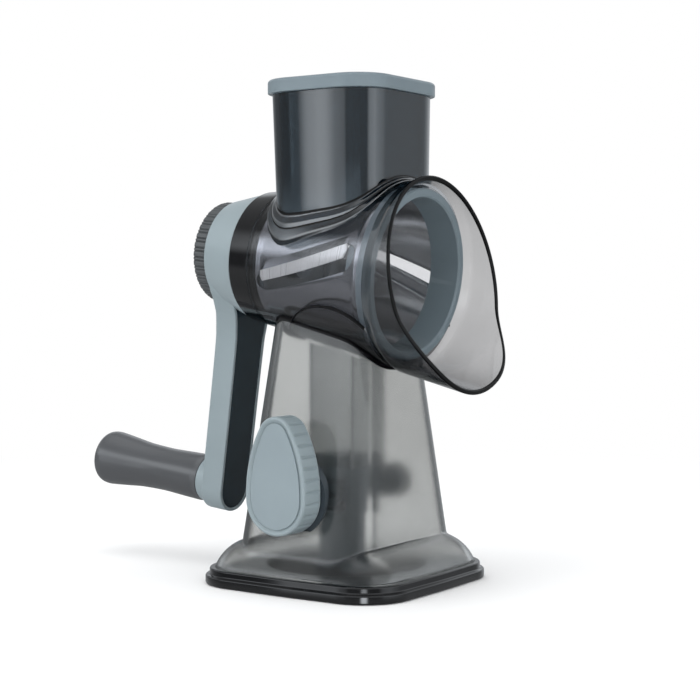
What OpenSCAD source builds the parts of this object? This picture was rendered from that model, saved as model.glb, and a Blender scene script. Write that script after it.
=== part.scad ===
// Hand-cranked drum shredder on a suction stand.
// Millimetres. The origin is the middle of the base's underside, +Z is up, +X is the way the
// barrel points, and the locking knob is on the -Y side. Places along the barrel's own tilted
// axis are stations, counted from the point above the origin and growing towards the mouth.

/* [Base] */
// Side of the square base, over the black skirt
base_side = 110; // [100:1:125]
// Radius of the base's corners
base_corner = 23; // [16:1:26]
// Height of the black skirt
skirt_h = 7.5; // [6.5:0.1:9]
// Height of the skirt's wider lower tier
skirt_tier_h = 4.2; // [3:0.1:5]
// How far the skirt's upper tier steps in
skirt_step = 2; // [0.8:0.1:2.5]
// Thickness of the skirt's inner ledge
ledge_t = 2.4; // [1.8:0.1:3]
// Radius of the flare's rounded back above the skirt
flare_r = 22; // [19:0.5:25]
// How far round its back the flare has turned at its lower edge, in degrees
flare_start = 22; // [16:1:26]
// How far the rubber suction cup's edge lies in from the base's side
cup_in = 9; // [8:0.5:13]
// Width of the cup's thin lip round its thick middle
cup_lip_w = 14; // [12:0.5:18]
// Gap round the cup's thick middle in the skirt's ledge
cup_pass = 5; // [3:0.5:7]

/* [Tower] */
// How far the tower's foot stands in from the base's side along X
tower_in_x = 18.9; // [16:0.1:23]
// How far the tower's foot stands in from the base's side along Y
tower_in_y = 8; // [7:0.1:12]
// Width of the tower at its top, both ways
tower_top_w = 53; // [48:0.2:58]
// Height to which the tower's walls are drawn
tower_top_z = 124; // [120:0.5:128]
// Radius of the tower's corners at its foot
tower_corner = 15; // [10:0.5:18]
// Thickness of the tower's and flare's walls
tower_wall = 2.4; // [1.8:0.1:3]

/* [Barrel] */
// Height of the barrel's axis above the origin
axis_z = 148.6; // [146:0.2:152]
// Tilt of the barrel down towards its mouth, in degrees
tilt = 6; // [4:0.5:8]
// Station of the barrel's rear end
barrel_rear = -34; // [-36:0.5:-33]
// Station of the barrel's front end
barrel_front = 38; // [37:0.5:40]
// Outer radius of the barrel at its rear end
barrel_r0 = 33.4; // [33:0.1:35]
// Outer radius of the barrel at its front end
barrel_r1 = 43.3; // [42.4:0.1:44.5]
// Thickness of the barrel's, chute's and hood's walls
shell_wall = 2.2; // [1.8:0.1:2.6]
// Radius of the saddle's round outline, seen from the side
saddle_r = 37.5; // [36:0.5:40]
// Thickness of the saddle between tower and barrel
saddle_t = 1.8; // [1.2:0.1:2.4]

/* [Hood] */
// How far the hood widens over its lip
hood_lip_rise = 2.5; // [1.8:0.1:3.5]
// How far the hood has widened at its farthest station
hood_rise = 7.3; // [6:0.1:8.5]
// Station of the hood's farthest point
hood_reach = 77; // [72:0.5:80]
// Forward place of the hood's rim at its top
rim_top_x = 47.5; // [46.5:0.1:49]
// Forward lean of the rim, in mm for each mm down
rim_lean_share = 0.142; // [0.1:0.002:0.18]
// How far the spout juts out beyond the leaning rim
spout_out = 9; // [6:0.2:11]

/* [Chute and pusher] */
// Width of the lid along X
lid_x = 64.7; // [60:0.1:68]
// Width of the lid along Y
lid_y = 69.1; // [64:0.1:72]
// Radius of the lid's corners
lid_corner = 17.6; // [14:0.2:20]
// Height of the lid's top above the origin
lid_top_z = 235; // [228:0.5:242]
// Thickness of the lid
lid_t = 6.5; // [5:0.1:8]
// How far the lid overhangs the chute
lid_over = 1.6; // [1.2:0.1:3]
// Forward place of the chute's middle
chute_x = 3.3; // [2.6:0.1:4]
// Width of the chute along X at its foot, as a share of that at its top
chute_draft_x_share = 0.94; // [0.9:0.005:0.97]
// Width of the chute along Y at its foot, as a share of that at its top
chute_draft_y_share = 0.97; // [0.94:0.005:1]
// How square the chute's outline is, with 2 for an ellipse
chute_square_share = 4; // [3.4:0.1:5]
// Gap between pusher and chute on each side
pusher_gap = 0.5; // [0.4:0.05:0.9]

/* [Drum] */
// Gap between the drum's sheet and the barrel's wall
drum_gap = 2.2; // [2:0.1:2.8]
// Thickness of the drum's sheet
drum_t = 0.8; // [0.6:0.05:1]
// Number of slots round the drum
slot_count = 4; // [3:1:5]
// Length of a slot
slot_len = 61; // [50:0.5:63]
// Width of a slot's hole
slot_w = 10.6; // [8:0.2:11]
// Width of the flat blade over a slot's upper side
blade_w = 5.2; // [4:0.1:5.6]
// Width of the ramp that rises to a blade
ramp_w = 4.4; // [3:0.1:5]
// Drop of the first slot's middle below the axis, as an angle
slot_drop = 4; // [0:0.5:8]
// Turn of a slot against the drum's axis, in degrees
slot_turn = 17; // [8:0.5:20]
// Height of a blade over the drum's sheet
blade_h = 1.4; // [1:0.1:1.5]
// How far the bore of the drum's front ring lies in from the sheet's outer face
ring_in = 1.5; // [1.4:0.05:2]
// Length of the front ring beyond the sheet
ring_len = 8; // [6:0.2:9]
// Radius of the drive shaft in its bush
shaft_r = 4.95; // [4.5:0.05:5.4]

/* [Crank] */
// Length of the crank from the barrel's axis to the grip's axis
arm_len = 114.4; // [100:0.2:120]
// Radius of the crank's head at its outer face
head_r0 = 25.7; // [25:0.1:27]
// Radius of the crank's head at its inner face
head_r1 = 31.2; // [29:0.1:32.5]
// Length of the crank's head along the axis
head_len = 20; // [18:0.5:22]
// How far the middle of the arm's round end lies beyond the grip's axis
arm_tip = 2.6; // [0:0.2:6]
// Width of the arm where it leaves the head
arm_root_w = 40.8; // [36:0.2:46]
// Width of the arm at its round end
arm_end_w = 22.6; // [20:0.2:25]
// Thickness of the arm
arm_t = 12.8; // [11:0.1:14]
// Outward lean of the arm, in mm for each mm of its length
arm_lean_share = 0.028; // [0:0.001:0.06]
// Radius of the knurled nut
nut_r = 24.8; // [22:0.1:25.4]
// Thickness of the knurled nut
nut_t = 7.9; // [6:0.1:8.5]
// Number of grooves round the nut
nut_grooves = 18; // [12:1:24]
// Length of the grip
grip_len = 68; // [60:0.5:72]
// Radius of the grip beside the arm
grip_r0 = 11.7; // [10.5:0.1:12.5]
// Radius of the grip at its waist
grip_waist_r = 11; // [9.5:0.1:12]
// Radius of the grip near its outer end
grip_r1 = 13.8; // [12.5:0.1:15]
// Radius of the grip's bolt
bolt_r = 3; // [2.5:0.1:3.5]

/* [Locking knob] */
// Height of the knob's pivot
pivot_z = 43.6; // [42:0.1:46]
// Radius of the knob's round lower end
knob_r0 = 16.4; // [15.5:0.1:17]
// Radius of the knob's narrow upper end
knob_r1 = 9.6; // [8.5:0.1:11]
// Height of the knob over both ends
knob_h = 53.8; // [48:0.2:56]
// Radius of the knob's bowed flanks
knob_flank_r = 60; // [52:1:70]
// Depth of the knob
knob_t = 13.4; // [12:0.1:15]
// Throw of the cam
cam_throw = 2.4; // [2:0.1:2.8]
// Radius of the cam
cam_r = 6.8; // [6.6:0.1:7.2]
// Radius of the cam's shaft
cam_shaft_r = 4; // [3.6:0.1:4.2]

/* [Hidden] */
$fn = 96;

// Overrun of a cut past the face that it leaves
over = 1;
// Gap of a part seated on another
seat = 0.1;
// Radial gap of a shaft in its hole
running = 0.05;
// Gap between faces that pass each other
pass = 0.4;
full_turn = 360;
right_angle = 90;

// Colours as photographed
smoke = [0.36, 0.37, 0.39, 0.55];
blue_grey = [0.55, 0.61, 0.64];
slate = [0.20, 0.24, 0.27];
black = [0.09, 0.09, 0.10];
dark_grey = [0.33, 0.34, 0.36];
steel = [0.75, 0.76, 0.78];

// A frame whose Z runs along the barrel's axis and whose X points down
module on_axis() translate([0, 0, axis_z]) rotate([0, right_angle + tilt, 0]) children();

// A frame whose Z runs along the knob's pivot, away from the tower, and whose Y is up
module on_pivot() translate([0, 0, pivot_z]) rotate([right_angle, 0, 0]) children();

// A rectangle with round corners, about the origin
module rounded(w, d, r) {
  square([w - 2 * r, d], center = true);
  square([w, d - 2 * r], center = true);
  for (x = [-1, 1], y = [-1, 1])
    translate([x * (w / 2 - r), y * (d / 2 - r)]) circle(r);
}

// Points of an arc about a centre, from one angle to another
function arc(c, r, a0, a1, n) =
  [for (i = [0:n]) let (a = a0 + (a1 - a0) * i / n) c + r * [cos(a), sin(a)]];

// Base and flare

ledge_z = skirt_h - ledge_t;
cup_r = base_side / 2 - cup_in;
cup_boss_r = cup_r - cup_lip_w;
ledge_hole_r = cup_boss_r + cup_pass;
// The flare's edge stands back from the skirt's upper tier
flare_back = 2.5;
flare_half = base_side / 2 - skirt_step - flare_back;
flare_corner = base_corner - (base_side / 2 - flare_half);
flare_end = 75;
// Height and inset of the flare's back at an angle round it
function flare_z(a, r) = skirt_h + r * (sin(a) - sin(flare_start));
function flare_in(a, r) = r * (cos(flare_start) - cos(a));
flare_steps = 12;
// Profile of the flare: distance out from a line that lies corner_in behind its edge
function flare_points(edge, r) = [
  for (i = [0:flare_steps])
    let (a = flare_start + (flare_end - flare_start) * i / flare_steps)
    [edge - flare_in(a, r), flare_z(a, r)]
];

// The flare filled in: two crossed prisms and four turned corners
module flare_solid(inset, r) {
  edge = flare_half - inset;
  inner = flare_half - flare_corner;
  pts = flare_points(edge, r);
  top = flare_z(flare_end, r);
  side = concat([[-edge, skirt_h]], [for (p = pts) [-p[0], p[1]]],
                [for (i = [len(pts) - 1:-1:0]) pts[i]]);
  for (turn = [0, right_angle])
    rotate([0, 0, turn]) rotate([right_angle, 0, 0])
      linear_extrude(2 * inner, center = true) polygon(side);
  corner = concat([[0, skirt_h]], [for (p = pts) [p[0] - inner, p[1]]], [[0, top]]);
  for (x = [-1, 1], y = [-1, 1])
    translate([x * inner, y * inner, 0]) rotate_extrude() polygon(corner);
}

// The tower filled in, drawn in by a wall's thickness
tower_h = tower_top_z - skirt_h;
tower_foot_x = base_side - 2 * tower_in_x;
tower_foot_y = base_side - 2 * tower_in_y;
module tower_solid(inset) {
  sx = (tower_top_w - 2 * inset) / (tower_foot_x - 2 * inset);
  sy = (tower_top_w - 2 * inset) / (tower_foot_y - 2 * inset);
  translate([0, 0, skirt_h]) linear_extrude(tower_h, scale = [sx, sy], slices = 1)
    rounded(tower_foot_x - 2 * inset, tower_foot_y - 2 * inset, tower_corner - inset, $fn = 48);
}

// Half the tower's width along Y at a height, and the slope of its -Y and +Y faces
function tower_half_y(z) =
  tower_foot_y / 2 - (tower_foot_y - tower_top_w) / 2 * (z - skirt_h) / tower_h;
tower_slope = atan((tower_foot_y - tower_top_w) / 2 / tower_h);

// Everything outside the tower's -Y face, as one tilted block
module outside_tower(gap) {
  translate([0, -tower_half_y(pivot_z) - gap, pivot_z]) rotate([-tower_slope, 0, 0])
    translate([-base_side / 2, -base_side, -base_side / 2])
      cube([base_side, base_side, base_side]);
}

// Barrel

barrel_slope = (barrel_r1 - barrel_r0) / (barrel_front - barrel_rear);
// Outer radius of the barrel's cone at a station
function barrel_r(s) = barrel_r0 + barrel_slope * (s - barrel_rear);

// The barrel's cone grown by an amount, between two stations
module barrel_cone(grow, s0, s1)
  on_axis() translate([0, 0, s0])
    cylinder(h = s1 - s0, r1 = barrel_r(s0) + grow, r2 = barrel_r(s1) + grow);

flange_len = 11.8;
flange_rear = barrel_rear - flange_len;
flange_plate_t = 3;
flange_boss_r = 10.5;
bush_r = 7.4;
bush_bore_r = shaft_r + running;
bush_lip = 1.4;
bush_len = 8.6;
saddle_mid_x = 9.5;
saddle_drop = 17.5;
saddle_top_z = axis_z - saddle_drop;

// The saddle's solid, grown by a gap
module saddle_solid(gap) {
  intersection() {
    barrel_cone(saddle_t + gap, barrel_rear + seat, barrel_front - seat);
    translate([saddle_mid_x, 0, saddle_top_z - saddle_r]) rotate([right_angle, 0, 0])
      cylinder(h = base_side, r = saddle_r + gap, center = true);
  }
}

// Chute and pusher

lid_z = lid_top_z - lid_t;
chute_top_z = lid_z - seat * 3;
chute_foot_share = 0.36;
chute_foot_z = axis_z + barrel_r0 * chute_foot_share;
chute_h = chute_top_z - chute_foot_z;
chute_w = lid_x - 2 * lid_over;
chute_d = lid_y - 2 * lid_over;
chute_still_x = 15;
chute_welt = 2.4;
chute_steps = 72;
pusher_foot_gap = 1.6;
lid_step_share = 0.15;
lid_edge_share = 0.4;

// A square outline with bowed sides, about the origin
module bowed(w, d) {
  power = chute_square_share;
  polygon([for (i = [0:chute_steps - 1])
    let (a = full_turn * i / chute_steps,
         r = pow(pow(abs(2 * cos(a) / w), power) + pow(abs(2 * sin(a) / d), power), -1 / power))
    r * [cos(a), sin(a)]]);
}

// A tapering block of the chute's form, drawn in by an amount, from the foot to a height. Its
// width shrinks towards an upright line in front of the chute's middle.
module chute_solid(inset, h)
  translate([chute_x + chute_still_x, 0, chute_foot_z + h]) mirror([0, 0, 1])
    linear_extrude(h, scale = [chute_draft_x_share, chute_draft_y_share], slices = 1)
      translate([-chute_still_x, 0]) bowed(chute_w - 2 * inset, chute_d - 2 * inset);

// Drum

// Outer radius of the drum's sheet at a station
function drum_r(s) = barrel_r(s) - shell_wall - drum_gap;
drum_set_in = 1.2;
ring_set_in = 5;
drum_rear = barrel_rear + drum_set_in;
drum_front = barrel_front - ring_set_in;
blade_len = slot_len - slot_w;
ring_front = drum_front + ring_len;
ring_bore_r = drum_r(drum_front - ring_len) - ring_in;
hub_t = 3;
hub_boss_r = 9;

// A skin that follows the drum, from one height to another over its sheet
module drum_skin(h0, h1) {
  on_axis() rotate_extrude() polygon([
    [drum_r(drum_rear) + h0, drum_rear], [drum_r(drum_rear) + h1, drum_rear],
    [drum_r(drum_front) + h1, drum_front], [drum_r(drum_front) + h0, drum_front]
  ]);
}

// Angles of the slots round the axis, the first one on the -Y side
slot_angle = slot_drop - right_angle;
function slot_at(i) = slot_angle + i * full_turn / slot_count;
module at_slot(i)
  on_axis() rotate([0, 0, slot_at(i)]) rotate([0, right_angle, 0]) rotate([0, 0, slot_turn])
    children();

// How far the drum's round falls away beside a line along it, and the cone's fall along a slot
function sag(y) = drum_r(0) - sqrt(pow(drum_r(0), 2) - y * y);
slot_fall = atan(barrel_slope * cos(slot_turn));

// Ramp and blade of a slot as one bent strip
module slot_blade() {
  foot = -slot_w / 2 - ramp_w;
  bend = -slot_w / 2;
  edge = bend + blade_w;
  outer = [[foot, -sag(foot)], [bend, blade_h - sag(bend)], [edge, blade_h - sag(edge)]];
  translate([0, 0, drum_r(0)]) rotate([0, slot_fall, 0]) rotate([right_angle, 0, right_angle])
    linear_extrude(blade_len, center = true)
      polygon(concat(outer, [for (i = [2:-1:0]) outer[i] - [0, drum_t]]));
}

// Crank

head_front = flange_rear - pass;
head_rear = head_front - head_len;
head_wall = 2.4;
hex_r = 4.7;
hex_sides = 6;
hex_gap = 0.12;
socket_r = 9;
socket_depth = 6;
nut_bevel = 0.8;
groove_r = 1.4;
end_sunk = 2;
end_step = 0.7;
arm_wall = 2.2;
cover_rim = 1.7;
cover_t = 1.6;
cover_sunk = 0.5;
cover_low = arm_t - cover_t - cover_sunk;
boss_r = 11.3;
boss_t = 4.2;
arm_boss_r = 6.2;

// Distance of the arm's round end from the axis, and how far its face stands in from the head's
arm_end_l = arm_len + arm_tip;
arm_set_in = 0.4;

// Station of the arm's outer face at a distance from the axis
function arm_out(l) = head_rear + arm_set_in - arm_lean_share * (l - head_r1);

// Half widths of the arm: share of its length, share of the way from end width to root width
arm_form_shares = [[0.085, 1.34], [0.153, 1], [0.187, 0.7], [0.229, 0.42], [0.257, 0.27],
                   [0.32, 0.13], [0.38, 0.06], [0.61, 0.02]];
function arm_half(share) = arm_end_w / 2 + (arm_root_w - arm_end_w) / 2 * share;

// The arm's outline from the front, drawn in by an amount, from the axis down
module arm_outline(inset) {
  side = [for (p = arm_form_shares) [p[0] * arm_end_l, arm_half(p[1]) - inset]];
  polygon(concat(side, arc([arm_end_l, 0], arm_end_w / 2 - inset, right_angle, -right_angle, 32),
                 [for (i = [len(side) - 1:-1:0]) [side[i][0], -side[i][1]]]));
}

// A block of the arm between two layers, each counted from its outer face
module arm_slab(inset, low, high, l0) {
  l1 = arm_end_l + arm_end_w;
  intersection() {
    on_axis() translate([0, 0, head_rear - arm_end_l]) linear_extrude(2 * arm_end_l)
      arm_outline(inset);
    on_axis() rotate([right_angle, 0, 0]) linear_extrude(base_side, center = true)
      polygon([[l0, arm_out(l0) + low], [l1, arm_out(l1) + low],
               [l1, arm_out(l1) + high], [l0, arm_out(l0) + high]]);
  }
}

// The same below the head's cone, grown by a gap
module arm_layer(inset, low, high, gap) difference() {
  arm_slab(inset, low, high, head_r0 / 3);
  on_axis() translate([0, 0, head_rear])
    cylinder(h = head_len, r1 = head_r0 + gap, r2 = head_r1 + gap);
}

grip_gap = 0.3;
grip_inner = arm_out(arm_len) - boss_t - grip_gap;
grip_outer = grip_inner - grip_len;
bolt_head_r = 5.6;
bolt_head_t = 3.4;
grip_cap_r = 8.6;
grip_cap_t = 2.6;
grip_bore_r = bolt_r + running;
// Outline of the grip beyond its waist: share of its length, share of the way to its outer radius
grip_form_shares = [[0.42, 0], [0.6, 0.2], [0.76, 0.6], [0.88, 0.93], [0.93, 1]];
// Places of the grip's first widths from the arm, and rounding of its two ends
grip_root_shares = [0.03, 0.22];
grip_edge_share = 0.93;
grip_end_shares = [[0.975, 0.93], [0.995, 0.8]];
grip_form = concat(
  [[grip_r0, grip_root_shares[0] * grip_len],
   [(grip_r0 + grip_waist_r) / 2, grip_root_shares[1] * grip_len]],
  [for (p = grip_form_shares)
    [grip_waist_r + (grip_r1 - grip_waist_r) * p[1], p[0] * grip_len]],
  [for (p = grip_end_shares) [grip_r1 * p[1], p[0] * grip_len]]);
// Dome of the grip's cap: share of its radius, share of its thickness
cap_form_shares = [[1, 0.8], [0.8, 1.12], [0.45, 1.34], [0, 1.4]];

// Locking knob and cam

knob_out = 16.55;
knob_face_y = tower_half_y(pivot_z) + knob_out;
knob_back_y = knob_face_y - knob_t;
knob_wall = 2.2;
knob_front_t = 3.2;
face_rim = 1.9;
face_t = 1.1;
collar_r = 18.2;
collar_y = knob_back_y - pass;
journal_r = cam_shaft_r + running;
neck_r = 8;
neck_in = 8;
square_w = 6.2;
square_gap = 0.1;
screw_r = 1.5;
screw_head_r = 3;
screw_head_t = 1.4;
screw_len = 9;
cam_start = 135;
cam_half = 10.6;
end_boss_r = 8.5;
end_boss_t = 2;

// The knob's outline about its pivot, drawn in by an amount
knob_top = knob_h - knob_r0 - knob_r1;
flank_y = (knob_top * knob_top + pow(knob_flank_r - knob_r0, 2)
           - pow(knob_flank_r - knob_r1, 2)) / (2 * knob_top);
flank_x = -sqrt(pow(knob_flank_r - knob_r0, 2) - pow(flank_y, 2));
flank_low = atan2(-flank_y, -flank_x);
flank_high = atan2(knob_top - flank_y, -flank_x);
module egg(inset) {
  right = concat(
    arc([0, 0], knob_r0 - inset, -right_angle, flank_low, 14),
    arc([flank_x, flank_y], knob_flank_r - inset, flank_low, flank_high, 8),
    arc([0, knob_top], knob_r1 - inset, flank_high, right_angle, 10));
  polygon(concat(right, [for (i = [len(right) - 1:-1:0]) [-right[i][0], right[i][1]]]));
}

// Stem

stem_w = 20.8;
stem_foot_w = 17.6;
stem_rise = 16.4;
stem_drop = 12;
stem_top_z = pivot_z + stem_rise;
stem_neck_z = pivot_z - stem_drop;
duct_gap = 0.3;
duct_wall = 1.4;
duct_rise = 10.5;
duct_z = pivot_z + duct_rise;
duct_w = stem_w + 2 * duct_gap + 2 * duct_wall;
cup_z = 0.4;
cup_rim_t = 1.8;
cup_hollow = 2.6;
cup_clear = 1;
cup_slack = 1.2;
cup_proud = 0.8;
cup_top_z = ledge_z + cup_proud;
disc_r = 15;
disc_t = 3.2;
cam_gap = 0.15;
cam_side_gap = 0.9;
cam_rest_z = pivot_z - cam_throw * sin(right_angle / 2);
cam_rest_x = -cam_throw * cos(right_angle / 2);
window_z = stem_neck_z + cam_r / 3;

// Modules, one for each piece

module pedestal() color(smoke) difference() {
  union() {
    flare_solid(0, flare_r);
    tower_solid(0);
  }
  translate([0, 0, -over]) intersection() {
    flare_solid(tower_wall, flare_r);
    translate([0, 0, skirt_h + base_side / 2]) cube(base_side, center = true);
  }
  intersection() {
    tower_solid(tower_wall);
    translate([0, 0, skirt_h + base_side]) cube(2 * base_side, center = true);
  }
  barrel_cone(seat, flange_rear - barrel_r1, barrel_front + barrel_r1);
  saddle_solid(seat);
  on_pivot() cylinder(h = base_side, r = neck_r + seat, center = true);
}

module base_skirt() color(black) difference() {
  union() {
    linear_extrude(skirt_tier_h) rounded(base_side, base_side, base_corner);
    linear_extrude(skirt_h)
      rounded(base_side - 2 * skirt_step, base_side - 2 * skirt_step, base_corner - skirt_step);
  }
  translate([0, 0, -over]) cylinder(h = skirt_h + 2 * over, r = ledge_hole_r);
  translate([0, 0, -over]) cylinder(h = ledge_z + over, r = cup_r + cup_clear);
}

module guide_duct() color(smoke) difference() {
  translate([-duct_w / 2, -duct_w / 2, duct_z])
    cube([duct_w, duct_w, tower_top_z - duct_z]);
  translate([-duct_w / 2 + duct_wall, -duct_w / 2 + duct_wall, duct_z - over])
    cube([duct_w - 2 * duct_wall, duct_w - 2 * duct_wall, tower_top_z]);
  barrel_cone(saddle_t + 2 * seat, barrel_rear, barrel_front);
}

module saddle_collar() color(black) difference() {
  saddle_solid(0);
  barrel_cone(seat, flange_rear, barrel_front + over);
}

module barrel_housing() color(smoke) difference() {
  barrel_cone(0, barrel_rear, barrel_front);
  on_axis() translate([0, 0, barrel_rear - over])
    cylinder(h = barrel_front - barrel_rear + 2 * over,
             r1 = barrel_r(barrel_rear - over) - shell_wall,
             r2 = barrel_r(barrel_front + over) - shell_wall);
  chute_solid(shell_wall, chute_h);
}

module feed_chute() color(smoke) difference() {
  union() {
    chute_solid(0, chute_h);
    intersection() {
      chute_solid(-chute_welt, chute_h);
      barrel_cone(chute_welt, barrel_rear, barrel_front);
    }
  }
  barrel_cone(0, flange_rear, barrel_front + barrel_r1);
  translate([0, 0, seat]) chute_solid(shell_wall, chute_h);
}

hood_lip = 5;
hood_flare_s = barrel_front + hood_lip;
hood_r0 = barrel_r1 + hood_lip_rise;
hood_r1 = barrel_r1 + hood_rise;
rim_z0 = axis_z + barrel_r1 + shell_wall;
rim_z1 = axis_z - hood_r1 - hood_reach * sin(tilt);
spout_start_share = 0.44;
spout_end_share = 1.24;
spout_z0 = axis_z - spout_start_share * barrel_r1;
spout_z1 = axis_z - spout_end_share * barrel_r1;
rim_steps = 28;
function ease(t) = let (c = min(max(t, 0), 1)) c * c * (3 - 2 * c);
// Forward place of the rim at a height
function rim_x(z) = rim_top_x + rim_lean_share * (rim_z0 - z)
  + spout_out * ease((spout_z0 - z) / (spout_z0 - spout_z1));

module outlet_hood() color(smoke) difference() {
  on_axis() rotate_extrude() polygon([
    [barrel_r1, barrel_front + seat], [hood_r0, hood_flare_s], [hood_r1, hood_reach],
    [hood_r1 - shell_wall, hood_reach], [hood_r0 - shell_wall, hood_flare_s],
    [barrel_r1 - shell_wall, barrel_front + seat]
  ]);
  rotate([right_angle, 0, 0]) linear_extrude(4 * hood_r1, center = true)
    polygon(concat(
      [for (i = [0:rim_steps]) let (z = rim_z0 + over - (rim_z0 + over - rim_z1) * i / rim_steps)
        [rim_x(z), z]],
      [[rim_x(rim_z1), rim_z1 - hood_r1], [2 * hood_reach, rim_z1 - hood_r1],
       [2 * hood_reach, rim_z0 + over]]));
}

module rear_flange() color(black) on_axis() rotate_extrude() polygon([
  [bush_r, flange_rear], [barrel_r(flange_rear), flange_rear],
  [barrel_r(barrel_rear), barrel_rear - seat],
  [barrel_r(barrel_rear) - shell_wall - seat, barrel_rear - seat],
  [barrel_r(barrel_rear) - shell_wall - seat, drum_rear - 2 * pass],
  [barrel_r(barrel_rear) - 2 * shell_wall, drum_rear - 2 * pass],
  [barrel_r(barrel_rear) - 2 * shell_wall, flange_rear + flange_plate_t],
  [flange_boss_r, flange_rear + flange_plate_t],
  [flange_boss_r, flange_rear + bush_len - bush_lip],
  [bush_r, flange_rear + bush_len - bush_lip]
]);

module rear_bush() color("ivory") on_axis() rotate_extrude() polygon([
  [bush_bore_r, flange_rear], [bush_r, flange_rear],
  [bush_r, flange_rear + bush_len - bush_lip],
  [flange_boss_r - seat, flange_rear + bush_len - bush_lip],
  [flange_boss_r - seat, flange_rear + bush_len], [bush_bore_r, flange_rear + bush_len]
]);

module knob_collar() color(slate) difference() {
  union() {
    intersection() {
      on_pivot() cylinder(h = collar_y, r = collar_r);
      outside_tower(seat);
    }
    on_pivot() translate([0, 0, tower_half_y(pivot_z) - neck_in])
      cylinder(h = collar_y - tower_half_y(pivot_z) + neck_in, r = neck_r);
  }
  on_pivot() cylinder(h = base_side, r = journal_r);
}

module shaft_end_boss() color(slate) mirror([0, 1, 0]) difference() {
  union() {
    intersection() {
      on_pivot() cylinder(h = tower_half_y(pivot_z) + end_boss_t, r = end_boss_r + seat);
      outside_tower(seat);
    }
    on_pivot() translate([0, 0, tower_half_y(pivot_z) - neck_in])
      cylinder(h = neck_in + end_boss_t, r = neck_r);
  }
  on_pivot() translate([0, 0, -over])
    cylinder(h = tower_half_y(pivot_z) + over, r = journal_r);
}

module stem_yoke() color(blue_grey) difference() {
  union() {
    translate([-stem_w / 2, -stem_w / 2, stem_neck_z])
      cube([stem_w, stem_w, stem_top_z - stem_neck_z]);
    translate([-stem_foot_w / 2, -stem_foot_w / 2, cup_top_z + disc_t])
      cube([stem_foot_w, stem_foot_w, stem_top_z - cup_top_z - disc_t]);
  }
  // Window round the cam, taller than the cam below it
  translate([cam_rest_x - cam_r - cam_side_gap, -stem_w, window_z])
    cube([2 * (cam_r + cam_side_gap), 2 * stem_w, cam_rest_z + cam_r + cam_gap - window_z]);
}

module cup_disc() color(slate) translate([0, 0, cup_top_z]) {
  cylinder(h = disc_t, r = disc_r);
}

module suction_cup() color(black) rotate_extrude() polygon([
  [0, cup_z + cup_hollow], [cup_boss_r, cup_z + cup_rim_t], [cup_r - cup_rim_t, cup_z],
  [cup_r, cup_z], [cup_r, cup_z + cup_rim_t], [ledge_hole_r, ledge_z - cup_slack],
  [cup_boss_r, ledge_z - cup_slack / 2], [cup_boss_r, cup_top_z], [0, cup_top_z]
]);

module lock_knob() color(blue_grey) on_pivot() difference() {
  translate([0, 0, knob_back_y]) linear_extrude(knob_t) egg(0);
  translate([0, 0, knob_face_y - face_t]) linear_extrude(face_t + over) egg(face_rim);
  difference() {
    translate([0, 0, knob_back_y - over]) linear_extrude(knob_t - knob_front_t + over)
      egg(knob_wall);
    cylinder(h = knob_face_y, r = neck_r);
  }
  cube([square_w + 2 * square_gap, square_w + 2 * square_gap,
        2 * (knob_face_y - knob_front_t)], center = true);
  cylinder(h = knob_face_y, r = screw_r + seat);
  translate([0, 0, knob_face_y - face_t - screw_head_t - seat])
    cylinder(h = screw_head_t + face_t, r = screw_head_r + seat);
}

module knob_face() color(blue_grey) on_pivot()
  translate([0, 0, knob_face_y - face_t + seat / 2]) linear_extrude(face_t - 2 * seat)
    egg(face_rim + seat);

module cam_shaft() color(slate) on_pivot() difference() {
  union() {
    translate([0, 0, -tower_half_y(pivot_z) + pass])
      cylinder(h = tower_half_y(pivot_z) + collar_y - pass + pass / 2, r = cam_shaft_r);
    translate([-square_w / 2, -square_w / 2, collar_y])
      cube([square_w, square_w, knob_face_y - knob_front_t - seat - collar_y]);
    rotate([0, 0, cam_start + right_angle]) translate([cam_throw, 0, -cam_half])
      cylinder(h = 2 * cam_half, r = cam_r);
  }
  translate([0, 0, knob_face_y - knob_front_t - screw_len])
    cylinder(h = screw_len + over, r = screw_r);
}

module knob_screw() color(steel) on_pivot() {
  translate([0, 0, knob_face_y - face_t - screw_head_t - seat / 2])
    cylinder(h = screw_head_t - seat / 2, r = screw_head_r);
  translate([0, 0, knob_face_y - knob_front_t - screw_len + seat])
    cylinder(h = screw_len + knob_front_t - face_t - screw_head_t, r = screw_r);
}

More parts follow.
